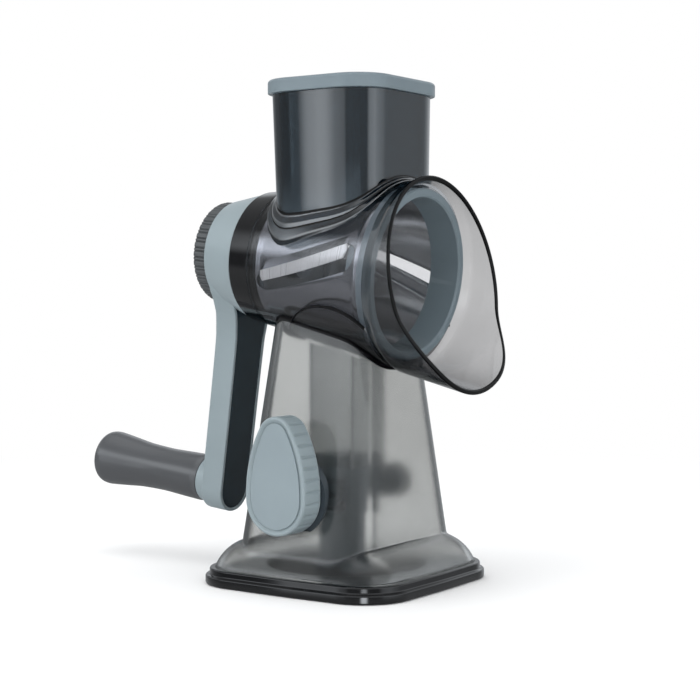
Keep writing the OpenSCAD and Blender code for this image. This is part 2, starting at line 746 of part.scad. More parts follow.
module crank_arm() color(blue_grey) difference() {
  union() {
    difference() {
      union() {
        on_axis() translate([0, 0, head_rear])
          cylinder(h = head_len, r1 = head_r0, r2 = head_r1);
        arm_slab(0, 0, arm_t, head_r0 / 3);
        on_axis() translate([arm_len, 0, arm_out(arm_len) - boss_t])
          cylinder(h = arm_wall + boss_t, r = boss_r);
      }
      // Hollow of the head, round its hub
      on_axis() difference() {
        translate([0, 0, head_rear + head_wall * 2])
          cylinder(h = head_len, r1 = head_r0 - head_wall, r2 = head_r1 - head_wall / 2);
        cylinder(h = 3 * head_len, r = socket_r + head_wall, center = true);
      }
      // Hollow of the arm and the cover's recess
      arm_slab(arm_wall, arm_wall, arm_t - cover_sunk, head_r1 + arm_wall);
      arm_layer(cover_rim, cover_low, arm_t + over, -seat);
    }
    on_axis() translate([arm_len, 0, arm_out(arm_len) + arm_wall / 2])
      cylinder(h = cover_low - arm_wall / 2 - 2 * pass, r = arm_boss_r);
  }
  // Drive socket, the nut's counterbore, the hub's set-back face and the grip bolt's hole
  on_axis() translate([0, 0, head_rear - over])
    cylinder(h = head_len + 2 * over, r = hex_r + hex_gap, $fn = hex_sides);
  on_axis() translate([0, 0, head_rear - over])
    cylinder(h = socket_depth + over, r = socket_r);
  on_axis() translate([0, 0, head_front - pass])
    cylinder(h = 2 * pass, r = socket_r + 2 * head_wall);
  on_axis() translate([arm_len, 0, 2 * head_rear])
    cylinder(h = -2 * head_rear, r = bolt_r);
}

module arm_cover() color(slate)
  arm_layer(cover_rim + seat, cover_low + seat, arm_t - cover_sunk, seat);

module grip_bolt() color(steel) on_axis() translate([arm_len, 0, 0]) {
  translate([0, 0, grip_outer + grip_cap_t + grip_gap])
    cylinder(h = bolt_head_t, r = bolt_head_r);
  translate([0, 0, grip_outer + grip_cap_t + grip_gap + bolt_head_t - seat])
    cylinder(h = grip_len - grip_cap_t - bolt_head_t + boss_t + cover_low - 2 * pass, r = bolt_r);
}

module hub_nut() color(dark_grey) difference() {
  on_axis() rotate_extrude() polygon([
    [hex_r + running, head_rear - nut_t], [nut_r - nut_bevel, head_rear - nut_t],
    [nut_r, head_rear - nut_t + nut_bevel], [nut_r, head_rear - nut_bevel],
    [nut_r - seat, head_rear - seat],
    [socket_r - 2 * seat, head_rear - seat], [socket_r - 2 * seat, head_rear + socket_depth - pass],
    [hex_r + running, head_rear + socket_depth - pass]
  ]);
  for (i = [0:nut_grooves - 1])
    on_axis() rotate([0, 0, i * full_turn / nut_grooves])
      translate([nut_r + groove_r / 2, 0, head_rear - nut_t - over])
        cylinder(h = nut_t + over, r = groove_r, $fn = 24);
}

module grip() color(dark_grey) difference() {
  on_axis() translate([arm_len, 0, grip_inner]) mirror([0, 0, 1]) rotate_extrude()
    polygon(concat([[0, 0], [grip_r0 * grip_edge_share, 0]], grip_form,
                   [[grip_cap_r + grip_gap, grip_len], [0, grip_len]]));
  on_axis() translate([arm_len, 0, 0]) {
    translate([0, 0, grip_outer - over]) cylinder(h = grip_len + 2 * over, r = grip_bore_r);
    translate([0, 0, grip_outer - over])
      cylinder(h = grip_cap_t + 2 * grip_gap + bolt_head_t + over, r = bolt_head_r + grip_gap);
    translate([0, 0, grip_outer - over]) cylinder(h = grip_cap_t + over, r = grip_cap_r);
  }
}

module grip_cap() color(dark_grey) on_axis() translate([arm_len, 0, grip_outer + grip_cap_t])
  mirror([0, 0, 1]) rotate_extrude()
    polygon(concat([[0, 0], [grip_cap_r - seat, 0]],
                   [for (p = cap_form_shares) [(grip_cap_r - seat) * p[0], grip_cap_t * p[1]]]));

module drum_shell() color(steel) {
  difference() {
    drum_skin(-drum_t, 0);
    for (i = [0:slot_count - 1])
      at_slot(i) linear_extrude(2 * barrel_r1)
        rounded(slot_len, slot_w, slot_w / 2 - seat);
  }
  intersection() {
    drum_skin(-2 * drum_t, blade_h);
    for (i = [0:slot_count - 1]) at_slot(i) slot_blade();
  }
}

module drum_front_ring() color(blue_grey) on_axis() rotate_extrude() polygon([
  [ring_bore_r, drum_front - ring_len], [drum_r(drum_front - ring_len) - drum_t - running,
                                         drum_front - ring_len],
  [drum_r(drum_front) - drum_t - running, drum_front - seat],
  [drum_r(drum_front) - drum_t - running, drum_front + seat],
  [drum_r(drum_front) + blade_h - seat, drum_front + seat],
  [drum_r(ring_front) + blade_h - drum_t, ring_front - drum_t],
  [drum_r(ring_front) + blade_h - 2 * drum_t, ring_front],
  [ring_bore_r + drum_t, ring_front], [ring_bore_r, ring_front - drum_t]
]);

module drum_hub() color(blue_grey) on_axis() rotate_extrude() polygon([
  [shaft_r - running, drum_rear], [drum_r(drum_rear) - drum_t - running, drum_rear],
  [drum_r(drum_rear + 2 * hub_t) - drum_t - running, drum_rear + 2 * hub_t],
  [drum_r(drum_rear) - 3 * drum_t, drum_rear + 2 * hub_t],
  [drum_r(drum_rear) - 4 * drum_t, drum_rear + hub_t],
  [hub_boss_r, drum_rear + hub_t], [hub_boss_r - drum_t, drum_rear + 3 * hub_t],
  [shaft_r - running, drum_rear + 3 * hub_t]
]);

module drive_shaft() color(steel) on_axis() {
  translate([0, 0, flange_rear + seat])
    cylinder(h = drum_rear + 3 * hub_t - flange_rear - seat - pass, r = shaft_r);
  translate([0, 0, head_rear])
    cylinder(h = flange_rear - head_rear + 2 * seat, r = hex_r, $fn = hex_sides);
  translate([0, 0, head_rear - nut_t + end_sunk])
    cylinder(h = nut_t - end_sunk + seat, r = hex_r - end_step);
}

module pusher_body() color(blue_grey) difference() {
  intersection() {
    chute_solid(shell_wall + pusher_gap, chute_h);
    translate([0, 0, lid_z / 2]) cube([base_side, base_side, lid_z], center = true);
  }
  barrel_cone(-shell_wall - drum_gap + blade_h + pusher_foot_gap, flange_rear, barrel_front + barrel_r1);
  difference() {
    translate([0, 0, over]) chute_solid(2 * shell_wall + pusher_gap, chute_h);
    barrel_cone(-drum_gap + blade_h + pusher_foot_gap, flange_rear,
                barrel_front + barrel_r1);
  }
}

module pusher_lid() color(blue_grey) translate([chute_x, 0, 0]) {
  step = lid_t * lid_step_share;
  edge_t = lid_t * lid_edge_share;
  translate([0, 0, lid_z]) linear_extrude(2 * edge_t) rounded(lid_x, lid_y, lid_corner);
  translate([0, 0, lid_z + edge_t]) linear_extrude(lid_t - edge_t)
    rounded(lid_x - 2 * step, lid_y - 2 * step, lid_corner - step);
}

pedestal();
base_skirt();
guide_duct();
saddle_collar();
barrel_housing();
feed_chute();
outlet_hood();
rear_flange();
rear_bush();
knob_collar();
shaft_end_boss();
stem_yoke();
cup_disc();
suction_cup();
lock_knob();
knob_face();
cam_shaft();
knob_screw();
crank_arm();
arm_cover();
grip_bolt();
hub_nut();
grip();
grip_cap();
drum_shell();
drum_front_ring();
drum_hub();
drive_shaft();
pusher_body();
pusher_lid();
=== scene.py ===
"""The look of the hand-cranked drum shredder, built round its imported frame.

Pieces are drawn in millimetres and end up in metres. Stations run along the barrel's tilted axis."""
import math

import bmesh
import bpy
from mathutils import Matrix, Vector


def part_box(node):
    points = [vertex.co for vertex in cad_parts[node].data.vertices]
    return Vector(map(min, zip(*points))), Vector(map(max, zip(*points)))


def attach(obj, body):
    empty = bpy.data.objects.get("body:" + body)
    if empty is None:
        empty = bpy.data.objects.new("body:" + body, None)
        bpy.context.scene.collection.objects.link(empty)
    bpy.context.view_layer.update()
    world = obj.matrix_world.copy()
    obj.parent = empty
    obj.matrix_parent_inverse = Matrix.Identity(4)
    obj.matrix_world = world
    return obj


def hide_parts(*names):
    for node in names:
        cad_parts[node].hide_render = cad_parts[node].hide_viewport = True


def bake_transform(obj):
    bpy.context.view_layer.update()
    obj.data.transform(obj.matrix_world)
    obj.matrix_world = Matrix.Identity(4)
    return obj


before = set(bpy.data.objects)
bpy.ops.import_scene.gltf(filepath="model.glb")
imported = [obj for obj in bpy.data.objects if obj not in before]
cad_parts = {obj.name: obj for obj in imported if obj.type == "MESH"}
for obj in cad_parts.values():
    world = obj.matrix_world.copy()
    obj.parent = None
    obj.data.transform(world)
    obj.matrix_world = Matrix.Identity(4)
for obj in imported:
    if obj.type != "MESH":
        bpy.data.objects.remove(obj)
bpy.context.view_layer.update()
scene = bpy.context.scene
MM = 0.001
RIGHT = math.radians(90)
TURN = 2 * math.pi
COLUMNS, ROUND_STEPS = 256, 128
ANGLES = [TURN * i / COLUMNS for i in range(COLUMNS)]

# Base and tower
BASE_HALF, BASE_CORNER, BASE_BOW = 55, 23, 0.8
SKIRT_H, TIER_H, TIER_STEP, LEDGE_Z = 7.5, 4.2, 2, 5.1
LEDGE_HOLE_R, CUP_ROOM_R = 37, 47
FLARE_HALF, FLARE_CORNER, FLARE_R, FLARE_START = 50.5, 18.5, 22, math.radians(22)
TOWER_FOOT_X, TOWER_FOOT_Y, TOWER_TOP, TOWER_TOP_Z = 36.1, 47, 26.5, 124
TOWER_CORNER, TOWER_CORNER_TOP, TOWER_WALL = 15, 10, 2.4
JOIN_R, TOWER_LINE = 2.6, 2.6

# Barrel, hood, chute and saddle
AXIS_Z, TILT = 148.6, math.radians(6)
BARREL_REAR, BARREL_FRONT, BARREL_R0, BARREL_R1 = -34, 38, 33.4, 43.3
SHELL_WALL, SEAT = 2.2, 0.1
HOOD_R0, HOOD_R1, HOOD_START, HOOD_REACH = 45.8, 50.6, 43, 77
RIM_TOP_X, RIM_LEAN, RIM_BLACK, RIM_ROUND, SPOUT_OUT = 47.5, 0.142, 1, 0.7, 9
LID_X, LID_Y, LID_CORNER, LID_TOP, LID_T, CHUTE_X = 64.7, 69.1, 17.6, 235, 6.5, 3.3
LID_OVER, CHUTE_DRAFT_X, CHUTE_DRAFT_Y, CHUTE_STILL, CHUTE_POWER = 1.6, 0.94, 0.97, 15, 4
SADDLE_R, SADDLE_X, SADDLE_TOP, SADDLE_T = 37.5, 9.5, 131.1, 1.8
SADDLE_WELT, SADDLE_SKIN, SADDLE_LIFT, SADDLE_ROWS = 1.3, 0.42 * SADDLE_T, 0.15, 90

# Band behind the barrel
BAND_LEN, BAND_WALL, BAND_BACK, BAND_BOSS, BAND_LIP = 11.8, 2.2, 3, 7.2, 0.4
BAND_BORE, BAND_BOSS_R = 7.4, 10.5

# Drum
DRUM_GAP, DRUM_REAR, DRUM_FRONT, SHEET_T = 2.2, BARREL_REAR + 2.4, BARREL_FRONT - 5, 0.8
ROLL_H, ROLL_W, ROLL_REAR, ROLL_FRONT = 0.7, 1.4, 1.5, 2.2
BLADES, SLOT_LEN, SLOT_W, SLOT_TURN, SLOT_AT = 4, 61, 10.6, math.radians(17), math.radians(-86)
SLOT_HALF = SLOT_W / 2 / math.cos(SLOT_TURN)
SLOT_STRAIGHT = (SLOT_LEN - SLOT_W) / 2 * math.cos(SLOT_TURN)
RAMP_W, BLADE_W, BLADE_H, BLADE_SAG = 4.4, 5.2, 1.4, 0.09
RING_LEN, RING_BORE, RING_DROP, RING_STEP, RING_OVER, RING_LIP = 8, 35.6, 0.85, 1.3, 0.6, 0.8

# Crank
HEAD_FRONT, HEAD_REAR, HEAD_R0, HEAD_R1 = -46.2, -66.2, 25.7, 31.2
HEAD_EDGE, HEAD_WALL, HEAD_BACK, HUB_R, HUB_SHORT = 1.2, 2.4, 4.8, 11.4, 0.4
HUB_HOLE_R, NUT_HOLE_R, NUT_HOLE_H = 4.9, 9, 6
ARM_LEN, ARM_TIP, ARM_ROOT_W, ARM_END_W, ARM_T = 114.4, 2.6, 40.8, 22.6, 12.8
ARM_LEAN, ARM_SET_IN, COVER_RIM, COVER_DEEP = 0.028, 0.4, 1.7, 2.1
ARM_BOSS, ARM_BOSS_R, ARM_BOSS_IN = 4.2, 11.3, 1
NUT_R, NUT_T, NUT_BORE, NUT_NECK_R, NUT_NECK = 24.8, 7.9, 5, 8.8, 5
NUT_PAIRS, PAIR_STEPS, GROOVE_W, GROOVES = 33, 14, 0.07, (0.32, 0.68)
GRIP_LEN, GRIP_GAP, GRIP_BORE, GRIP_FOOT_R = 68, 0.3, 3.05, 11.1
GRIP_CAP_R, GRIP_CAP_DEEP, GRIP_CAP_EDGE = 8.6, 2.6, 0.3

# Knob
PIVOT_Z, KNOB_T, KNOB_FACE_Y = 43.6, 13.4, -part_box("lock_knob")[0].y / MM
KNOB_R0, KNOB_R1, KNOB_H, KNOB_FLANK_R, KNOB_POINTS = 16.4, 9.6, 53.8, 60, 360
NOTCHES, NOTCH_DEEP, NOTCH_HALF = 26, 0.75, 0.2
PLATE_INSET, PLATE_BACK, PLATE_T = 2.9, 1.05, 0.6

AXIS = Matrix.Translation((0, 0, AXIS_Z)) @ Matrix.Rotation(RIGHT + TILT, 4, "Y")
PIVOT = Matrix.Translation((0, 0, PIVOT_Z)) @ Matrix.Rotation(RIGHT, 4, "X")
ALONG = AXIS.to_3x3() @ Vector((0, 0, 1))


def mix(a, b, share):
    """The value at a share of the way from one to another."""
    return a + (b - a) * share


def ease(share):
    """A share that starts and ends softly."""
    share = min(max(share, 0), 1)
    return share * share * (3 - 2 * share)


def holds_up_to(test, low, high):
    """The value up to which a test holds, found by halving."""
    for _ in range(40):
        middle = (low + high) / 2
        low, high = (middle, high) if test(middle) else (low, middle)
    return low


def barrel_r(station):
    """Outer radius of the barrel's cone at a station."""
    return mix(BARREL_R0, BARREL_R1, (station - BARREL_REAR) / (BARREL_FRONT - BARREL_REAR))


def drum_r(station):
    """Outer radius of the drum's cone at a station."""
    return barrel_r(station) - SHELL_WALL - DRUM_GAP


def off_barrel(point):
    """Distance of a point from the barrel's outer face, below nothing inside it."""
    out = Vector(point) - Vector((0, 0, AXIS_Z))
    station = out.dot(ALONG)
    return (out - station * ALONG).length - barrel_r(station)


def reach(angle, half_x, half_y, corner):
    """Distance from the middle of a rectangle with round corners to its edge."""
    c, s = abs(math.cos(angle)), abs(math.sin(angle))
    in_x, in_y = half_x - corner, half_y - corner
    if s * half_x <= c * in_y:
        return half_x / c
    if c * half_y <= s * in_x:
        return half_y / s
    b = c * in_x + s * in_y
    return b + math.sqrt(b * b - in_x * in_x - in_y * in_y + corner * corner)


def joined(a, b, width):
    """The larger of two distances, with a soft fillet where they are alike."""
    near = max(width - abs(a - b), 0) / width
    return max(a, b) + near * near * width / 4


def curve(points, steps):
    """A smooth curve through points, with some steps between each two."""
    ends = [points[0]] + list(points) + [points[-1]]
    out = []
    for a, b, c, d in zip(ends, ends[1:], ends[2:], ends[3:]):
        for i in range(steps):
            t = i / steps
            out.append(tuple(0.5 * (2 * q + (r - p) * t + (2 * p - 5 * q + 4 * r - s) * t * t
                                    + (3 * q - p - 3 * r + s) * t ** 3)
                             for p, q, r, s in zip(a, b, c, d)))
    return out + [tuple(points[-1])]


# Meshes


def verts_of(made):
    """The vertices among what an operator made."""
    return [g for g in made if isinstance(g, bmesh.types.BMVert)]


def walled(rings, closed=False):
    """A wall through rings of points, each ring extruded from the one before it."""
    bm = bmesh.new()
    ring = bmesh.ops.create_circle(bm, segments=len(rings[0]), radius=1)["verts"]
    edges = bm.edges[:]
    for v, p in zip(ring, rings[0]):
        v.co = p
    for points in rings[1:] + rings[:1] * closed:
        place = {v: i for i, v in enumerate(ring)}
        made = bmesh.ops.extrude_edge_only(bm, edges=edges)["geom"]
        new = [None] * len(ring)
        for v in verts_of(made):
            old = next(o for o in (e.other_vert(v) for e in v.link_edges) if o in place)
            new[place[old]] = v
        for v, p in zip(new, points):
            v.co = p
        kept = set(new)
        edges = [g for g in made if isinstance(g, bmesh.types.BMEdge) and set(g.verts) <= kept]
        ring = new
    return bm


def banded(bm, columns, *bands):
    """Gives some bands of a wall its second finish, each counted from the wall's first ring."""
    bm.faces.ensure_lookup_table()
    for band in bands:
        for f in bm.faces[band * columns:(band + 1) * columns]:
            f.material_index = 1


def netted(rows):
    """An open sheet through rows of points."""
    bm = bmesh.new()
    bmesh.ops.create_grid(bm, x_segments=len(rows[0]) - 1, y_segments=len(rows) - 1, size=1)
    for v, p in zip(bm.verts, (p for row in rows for p in row)):
        v.co = p
    return bm


def turned(profile, closed=True):
    """A profile of radii and stations turned about Z."""
    bm = bmesh.new()
    verts = [bm.verts.new((r, 0, z)) for r, z in profile]
    after = verts[1:] + verts[:1] if closed else verts[1:]
    edges = [bm.edges.new(pair) for pair in zip(verts, after)]
    bmesh.ops.spin(bm, geom=verts + edges, axis=(0, 0, 1), angle=TURN, steps=ROUND_STEPS,
                   use_merge=True)
    return bm


def slab(width, depth, corner, low, high):
    """A block with round upright corners."""
    bm = bmesh.new()
    bmesh.ops.create_grid(bm, x_segments=1, y_segments=1, size=0.5)
    bmesh.ops.scale(bm, vec=(width, depth, 1), verts=bm.verts)
    bmesh.ops.bevel(bm, geom=bm.verts[:], offset=corner, segments=18, profile=0.5,
                    affect="VERTICES", material=-1)
    bmesh.ops.translate(bm, vec=(0, 0, low), verts=bm.verts)
    raised(bm, high - low)
    return bm


def raised(bm, height):
    """Extrudes a flat face straight up into a block."""
    made = bmesh.ops.extrude_face_region(bm, geom=bm.faces[:])["geom"]
    bmesh.ops.translate(bm, vec=(0, 0, height), verts=verts_of(made))


def tidied(bm):
    """Merges doubles and turns the faces outwards."""
    bmesh.ops.remove_doubles(bm, verts=bm.verts, dist=0.001)
    bmesh.ops.recalc_face_normals(bm, faces=bm.faces)
    if bm.calc_volume(signed=True) < 0:
        bmesh.ops.reverse_faces(bm, faces=bm.faces)


def level_with(z):
    """A test for edges that lie at a height."""
    return lambda e: all(abs(v.co.z - z) < 0.1 for v in e.verts)


def softened(bm, width, steps, angle, where=None):
    """Rounds the edges that are sharper than an angle."""
    tidied(bm)
    edges = [e for e in bm.edges if len(e.link_faces) == 2
             and e.calc_face_angle() > math.radians(angle) and (where is None or where(e))]
    bmesh.ops.bevel(bm, geom=edges, offset=width, segments=steps, profile=0.5, affect="EDGES",
                    clamp_overlap=True, material=-1)


def added(bm, other):
    """Adds another mesh's faces to a mesh."""
    mesh = bpy.data.meshes.new("part")
    other.to_mesh(mesh)
    other.free()
    bm.from_mesh(mesh)
    bpy.data.meshes.remove(mesh)


def piece(name, bm, body, finish, stands_for=(), place=None, sharp=50, wall=0, inside_index=0):
    """Ends a piece: its place, its normals, its finish and the body that it rides on, if any."""
    if place:
        bmesh.ops.transform(bm, matrix=place, verts=bm.verts)
    tidied(bm)
    bmesh.ops.scale(bm, vec=(MM, MM, MM), verts=bm.verts)
    mesh = bpy.data.meshes.new(name)
    bm.to_mesh(mesh)
    bm.free()
    for f in mesh.polygons:
        f.use_smooth = True
    mesh.set_sharp_from_angle(angle=math.radians(sharp))
    obj = bpy.data.objects.new(name, mesh)
    scene.collection.objects.link(obj)
    for m in finish if isinstance(finish, list) else [finish]:
        mesh.materials.append(m)
    if wall:
        solid = obj.modifiers.new("wall", "SOLIDIFY")
        solid.thickness, solid.offset, solid.use_even_offset = wall * MM, -1, True
        solid.material_offset = inside_index
    weigh = obj.modifiers.new("weigh", "WEIGHTED_NORMAL")
    weigh.keep_sharp = True
    if body:
        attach(obj, body)
    if stands_for:
        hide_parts(*stands_for)
    return obj


# Finishes

GRAIN_DEPTH = 0.00001


def shader_group(name, inputs, outputs):
    """An empty shader group with its sockets, and its first and last node."""
    tree = bpy.data.node_groups.new(name, "ShaderNodeTree")
    for kind, sockets in (("INPUT", inputs), ("OUTPUT", outputs)):
        for label, value in sockets.items():
            form = ("NodeSocketColor" if isinstance(value, tuple) and len(value) == 4
                    else "NodeSocketVector" if isinstance(value, tuple) else "NodeSocketFloat")
            made = tree.interface.new_socket(name=label, in_out=kind, socket_type=form)
            if kind == "INPUT":
                made.default_value = value
    return tree, tree.nodes.new("NodeGroupInput"), tree.nodes.new("NodeGroupOutput")


def node(tree, kind, values=None, links=None, **settings):
    """Adds a node, sets its options and its plain inputs, and links the others."""
    made = tree.nodes.new(kind)
    for label, value in settings.items():
        setattr(made, label, value)
    for key, value in (values or {}).items():
        made.inputs[key].default_value = value
    for key, source in (links or {}).items():
        tree.links.new(source, made.inputs[key])
    return made


def make_moulding():
    """Colour, roughness and height of moulded plastic: slow clouds, fine grain and pale edges."""
    grey = (0.5, 0.5, 0.5, 1.0)
    tree, start, end = shader_group(
        "moulding",
        {"Vector": (0.0, 0.0, 0.0), "Colour": grey, "Worn colour": grey, "Clouds": 0.05,
         "Grain size": 1800.0, "Roughness": 0.3, "Roughness spread": 0.05, "Wear": 0.3},
        {"Colour": grey, "Roughness": 0.0, "Height": 0.0})
    clouds = node(tree, "ShaderNodeTexNoise", {"Scale": 34.0, "Detail": 3.0, "Roughness": 0.55},
                  {"Vector": start.outputs["Vector"]})
    grain = node(tree, "ShaderNodeTexNoise", {"Detail": 2.0, "Roughness": 0.6},
                 {"Vector": start.outputs["Vector"], "Scale": start.outputs["Grain size"]})
    low = node(tree, "ShaderNodeMath", {0: 1.0}, {1: start.outputs["Clouds"]}, operation="SUBTRACT")
    high = node(tree, "ShaderNodeMath", {0: 1.0}, {1: start.outputs["Clouds"]}, operation="ADD")
    shade = node(tree, "ShaderNodeMapRange", {1: 0.3, 2: 0.7},
                 {0: clouds.outputs[0], 3: low.outputs[0], 4: high.outputs[0]})
    lit = node(tree, "ShaderNodeVectorMath", None,
               {0: start.outputs["Colour"], "Scale": shade.outputs[0]}, operation="SCALE")
    point = node(tree, "ShaderNodeNewGeometry")
    edge = node(tree, "ShaderNodeMapRange", {1: 0.515, 2: 0.56, 3: 0.0, 4: 1.0},
                {0: point.outputs["Pointiness"]})
    broken = node(tree, "ShaderNodeMath", None, {0: edge.outputs[0], 1: clouds.outputs[0]},
                  operation="MULTIPLY")
    mask = node(tree, "ShaderNodeMath", None, {0: broken.outputs[0], 1: start.outputs["Wear"]},
                operation="MULTIPLY", use_clamp=True)
    worn = node(tree, "ShaderNodeMix", None,
                {0: mask.outputs[0], 6: lit.outputs[0], 7: start.outputs["Worn colour"]},
                data_type="RGBA")
    swing = node(tree, "ShaderNodeMath", {1: 0.5}, {0: clouds.outputs[0]}, operation="SUBTRACT")
    rough = node(tree, "ShaderNodeMath", None,
                 {0: swing.outputs[0], 1: start.outputs["Roughness spread"],
                  2: start.outputs["Roughness"]}, operation="MULTIPLY_ADD")
    for source, label in ((worn.outputs[2], "Colour"), (rough.outputs[0], "Roughness"),
                          (grain.outputs[0], "Height")):
        tree.links.new(source, end.inputs[label])
    return tree


MOULDING = make_moulding()


def material(name):
    """An empty material, its tree and its output."""
    made = bpy.data.materials.new(name)
    made.use_nodes = True
    tree = made.node_tree
    tree.nodes.clear()
    return made, tree, node(tree, "ShaderNodeOutputMaterial")


def linear(code):
    """A written colour as linear light."""
    parts = [int(code[i:i + 2], 16) / 255 for i in (1, 3, 5)]
    return tuple(p / 12.92 if p <= 0.04045 else ((p + 0.055) / 1.055) ** 2.4 for p in parts) + (1.0,)


def moulded(tree, colour, worn, clouds, grain, rough, spread, wear):
    """Places the moulding group in a material."""
    place = node(tree, "ShaderNodeTexCoord")
    made = node(tree, "ShaderNodeGroup", None, None, node_tree=MOULDING)
    tree.links.new(place.outputs["Object"], made.inputs["Vector"])
    for label, value in (("Colour", linear(colour)), ("Worn colour", linear(worn)),
                         ("Clouds", clouds), ("Grain size", grain), ("Roughness", rough),
                         ("Roughness spread", spread), ("Wear", wear)):
        made.inputs[label].default_value = value
    return made


def plastic(name, colour, worn, rough=0.3, spread=0.08, clouds=0.03, grain=1800.0, strength=0.12,
            wear=0.5, coat=0.0, shine=0.5):
    """An opaque moulded plastic."""
    made, tree, out = material(name)
    form = moulded(tree, colour, worn, clouds, grain, rough, spread, wear)
    bump = node(tree, "ShaderNodeBump", {"Strength": strength, "Distance": GRAIN_DEPTH},
                {"Height": form.outputs["Height"]})
    skin = node(tree, "ShaderNodeBsdfPrincipled",
                {"Specular IOR Level": shine, "Coat Weight": coat, "Coat Roughness": 0.08},
                {"Base Color": form.outputs["Colour"], "Roughness": form.outputs["Roughness"],
                 "Normal": bump.outputs[0]})
    tree.links.new(skin.outputs[0], out.inputs[0])
    return made


def smoked(name, colour, edge, rough=0.02, spread=0.01, clouds=0.04, strength=0.03, blend=0.35,
           coat=0.0, rim=(0.0, 1.0)):
    """A see-through smoky plastic, deeper where the sight runs along its wall.

    Light for the pieces behind it passes straight on, tinted. The rim gives the slants at which
    the deeper colour starts and is full."""
    made, tree, out = material(name)
    form = moulded(tree, colour, colour, clouds, 900.0, rough, spread, 0.0)
    bump = node(tree, "ShaderNodeBump", {"Strength": strength, "Distance": GRAIN_DEPTH},
                {"Height": form.outputs["Height"]})
    slant = node(tree, "ShaderNodeLayerWeight", {"Blend": blend})
    deep = node(tree, "ShaderNodeMapRange", {1: rim[0], 2: rim[1]}, {0: slant.outputs["Facing"]})
    tint = node(tree, "ShaderNodeMix", {7: linear(edge)},
                {0: deep.outputs[0], 6: form.outputs["Colour"]}, data_type="RGBA")
    skin = node(tree, "ShaderNodeBsdfPrincipled",
                {"Transmission Weight": 1.0, "IOR": 1.49, "Metallic": 0.0, "Coat Weight": coat,
                 "Coat IOR": 1.8},
                {"Base Color": tint.outputs[2], "Roughness": form.outputs["Roughness"],
                 "Normal": bump.outputs[0]})
    passing = node(tree, "ShaderNodeBsdfTransparent",
                   {"Color": tuple(math.sqrt(c) for c in linear(colour))})
    path = node(tree, "ShaderNodeLightPath")
    straight = node(tree, "ShaderNodeMath", None,
                    {0: path.outputs["Is Shadow Ray"], 1: path.outputs["Is Reflection Ray"]},
                    operation="MAXIMUM")
    both = node(tree, "ShaderNodeMixShader", None,
                {0: straight.outputs[0], 1: skin.outputs[0], 2: passing.outputs[0]})
    tree.links.new(both.outputs[0], out.inputs[0])
    return made


def brushed(name, colour, rough, spread, metal=1.0, strength=0.1):
    """A metal with fine turned lines round the barrel's axis."""
    made, tree, out = material(name)
    place = node(tree, "ShaderNodeTexCoord")
    turn = node(tree, "ShaderNodeMapping", {"Rotation": (0.0, RIGHT + TILT, 0.0)},
                {"Vector": place.outputs["Object"]}, vector_type="TEXTURE")
    pull = node(tree, "ShaderNodeMapping", {"Scale": (14.0, 14.0, 3200.0)},
                {"Vector": turn.outputs[0]})
    lines = node(tree, "ShaderNodeTexNoise", {"Scale": 1.0, "Detail": 3.0, "Roughness": 0.6},
                 {"Vector": pull.outputs[0]})
    cloud = node(tree, "ShaderNodeTexNoise", {"Scale": 30.0, "Detail": 2.0},
                 {"Vector": place.outputs["Object"]})
    dull = node(tree, "ShaderNodeMapRange", {1: 0.3, 2: 0.7, 3: rough - spread, 4: rough + spread},
                {0: lines.outputs[0]})
    tone = node(tree, "ShaderNodeMapRange", {1: 0.3, 2: 0.7, 3: 0.94, 4: 1.04},
                {0: cloud.outputs[0]})
    colours = node(tree, "ShaderNodeVectorMath", {0: linear(colour)[:3]},
                   {"Scale": tone.outputs[0]}, operation="SCALE")
    bump = node(tree, "ShaderNodeBump", {"Strength": strength, "Distance": GRAIN_DEPTH},
                {"Height": lines.outputs[0]})
    skin = node(tree, "ShaderNodeBsdfPrincipled", {"Metallic": metal},
                {"Base Color": colours.outputs[0], "Roughness": dull.outputs[0],
                 "Normal": bump.outputs[0]})
    tree.links.new(skin.outputs[0], out.inputs[0])
    return made


BLUE_GREY = plastic("blue_grey_plastic", "#8b989d", "#a5b1b6", rough=0.32, wear=0.6, shine=0.4)
KNOB_PLATE = plastic("blue_grey_plate", "#88959b", "#a2afb4", rough=0.4, clouds=0.02, shine=0.4)
COVER = plastic("glossy_slate_cover", "#0e1f27", "#2f3f47", rough=0.16, coat=0.15, shine=0.2)
BLACK = plastic("glossy_black_plastic", "#08080a", "#242527", rough=0.12, wear=0.4, coat=0.5,
                shine=0.4)
NUT_GREY = plastic("dark_grey_nut", "#474a4c", "#6d7072", rough=0.42, grain=2600.0, strength=0.2,
                   shine=0.4)
GRIP_GREY = plastic("grip_satin", "#4b4d50", "#6c6e71", rough=0.34, grain=3200.0, strength=0.3,
                    coat=0.5)
SLATE = plastic("slate_plastic", "#2a3135", "#56606a", rough=0.3, shine=0.4)
IVORY = plastic("ivory_bush", "#c9c3b2", "#ddd8ca", rough=0.35)
RUBBER = plastic("cup_rubber", "#1c1c1d", "#333335", rough=0.55, grain=2400.0, strength=0.3)
INNER = plastic("stem_plastic", "#3a4146", "#5a6368", rough=0.45)
SMOKE_DUCT = smoked("duct_smoke", "#dadbdb", "#8f9192", rough=0.25)
SMOKE_TOWER = smoked("frosted_smoke", "#dadbda", "#161718", rough=0.18, spread=0.04, strength=0.0,
                     blend=0.5, rim=(0.36, 0.84))
SMOKE_BARREL = smoked("clear_smoke", "#e2e3e6", "#3c3c40", rough=0.02)
SMOKE_CHUTE = smoked("deep_smoke", "#6d7b84", "#0e1418", rough=0.03, blend=0.5, coat=1.0)
SMOKE_SADDLE = smoked("saddle_smoke", "#c8c8cb", "#2c2c2e", rough=0.06)
SMOKE_HOOD = smoked("light_smoke", "#c4c4c5", "#303032", rough=0.05, blend=0.5)
# Painted shade: a darker copy of the blue-grey plastic for the lid, the mouth ring and the pusher body,
# which are the same plastic as the arm and knob.
BLUE_GREY_PAINTED_SHADE = plastic("blue_grey_painted_shade", "#707d84", "#909da3", rough=0.3, wear=0.6, shine=0.4)
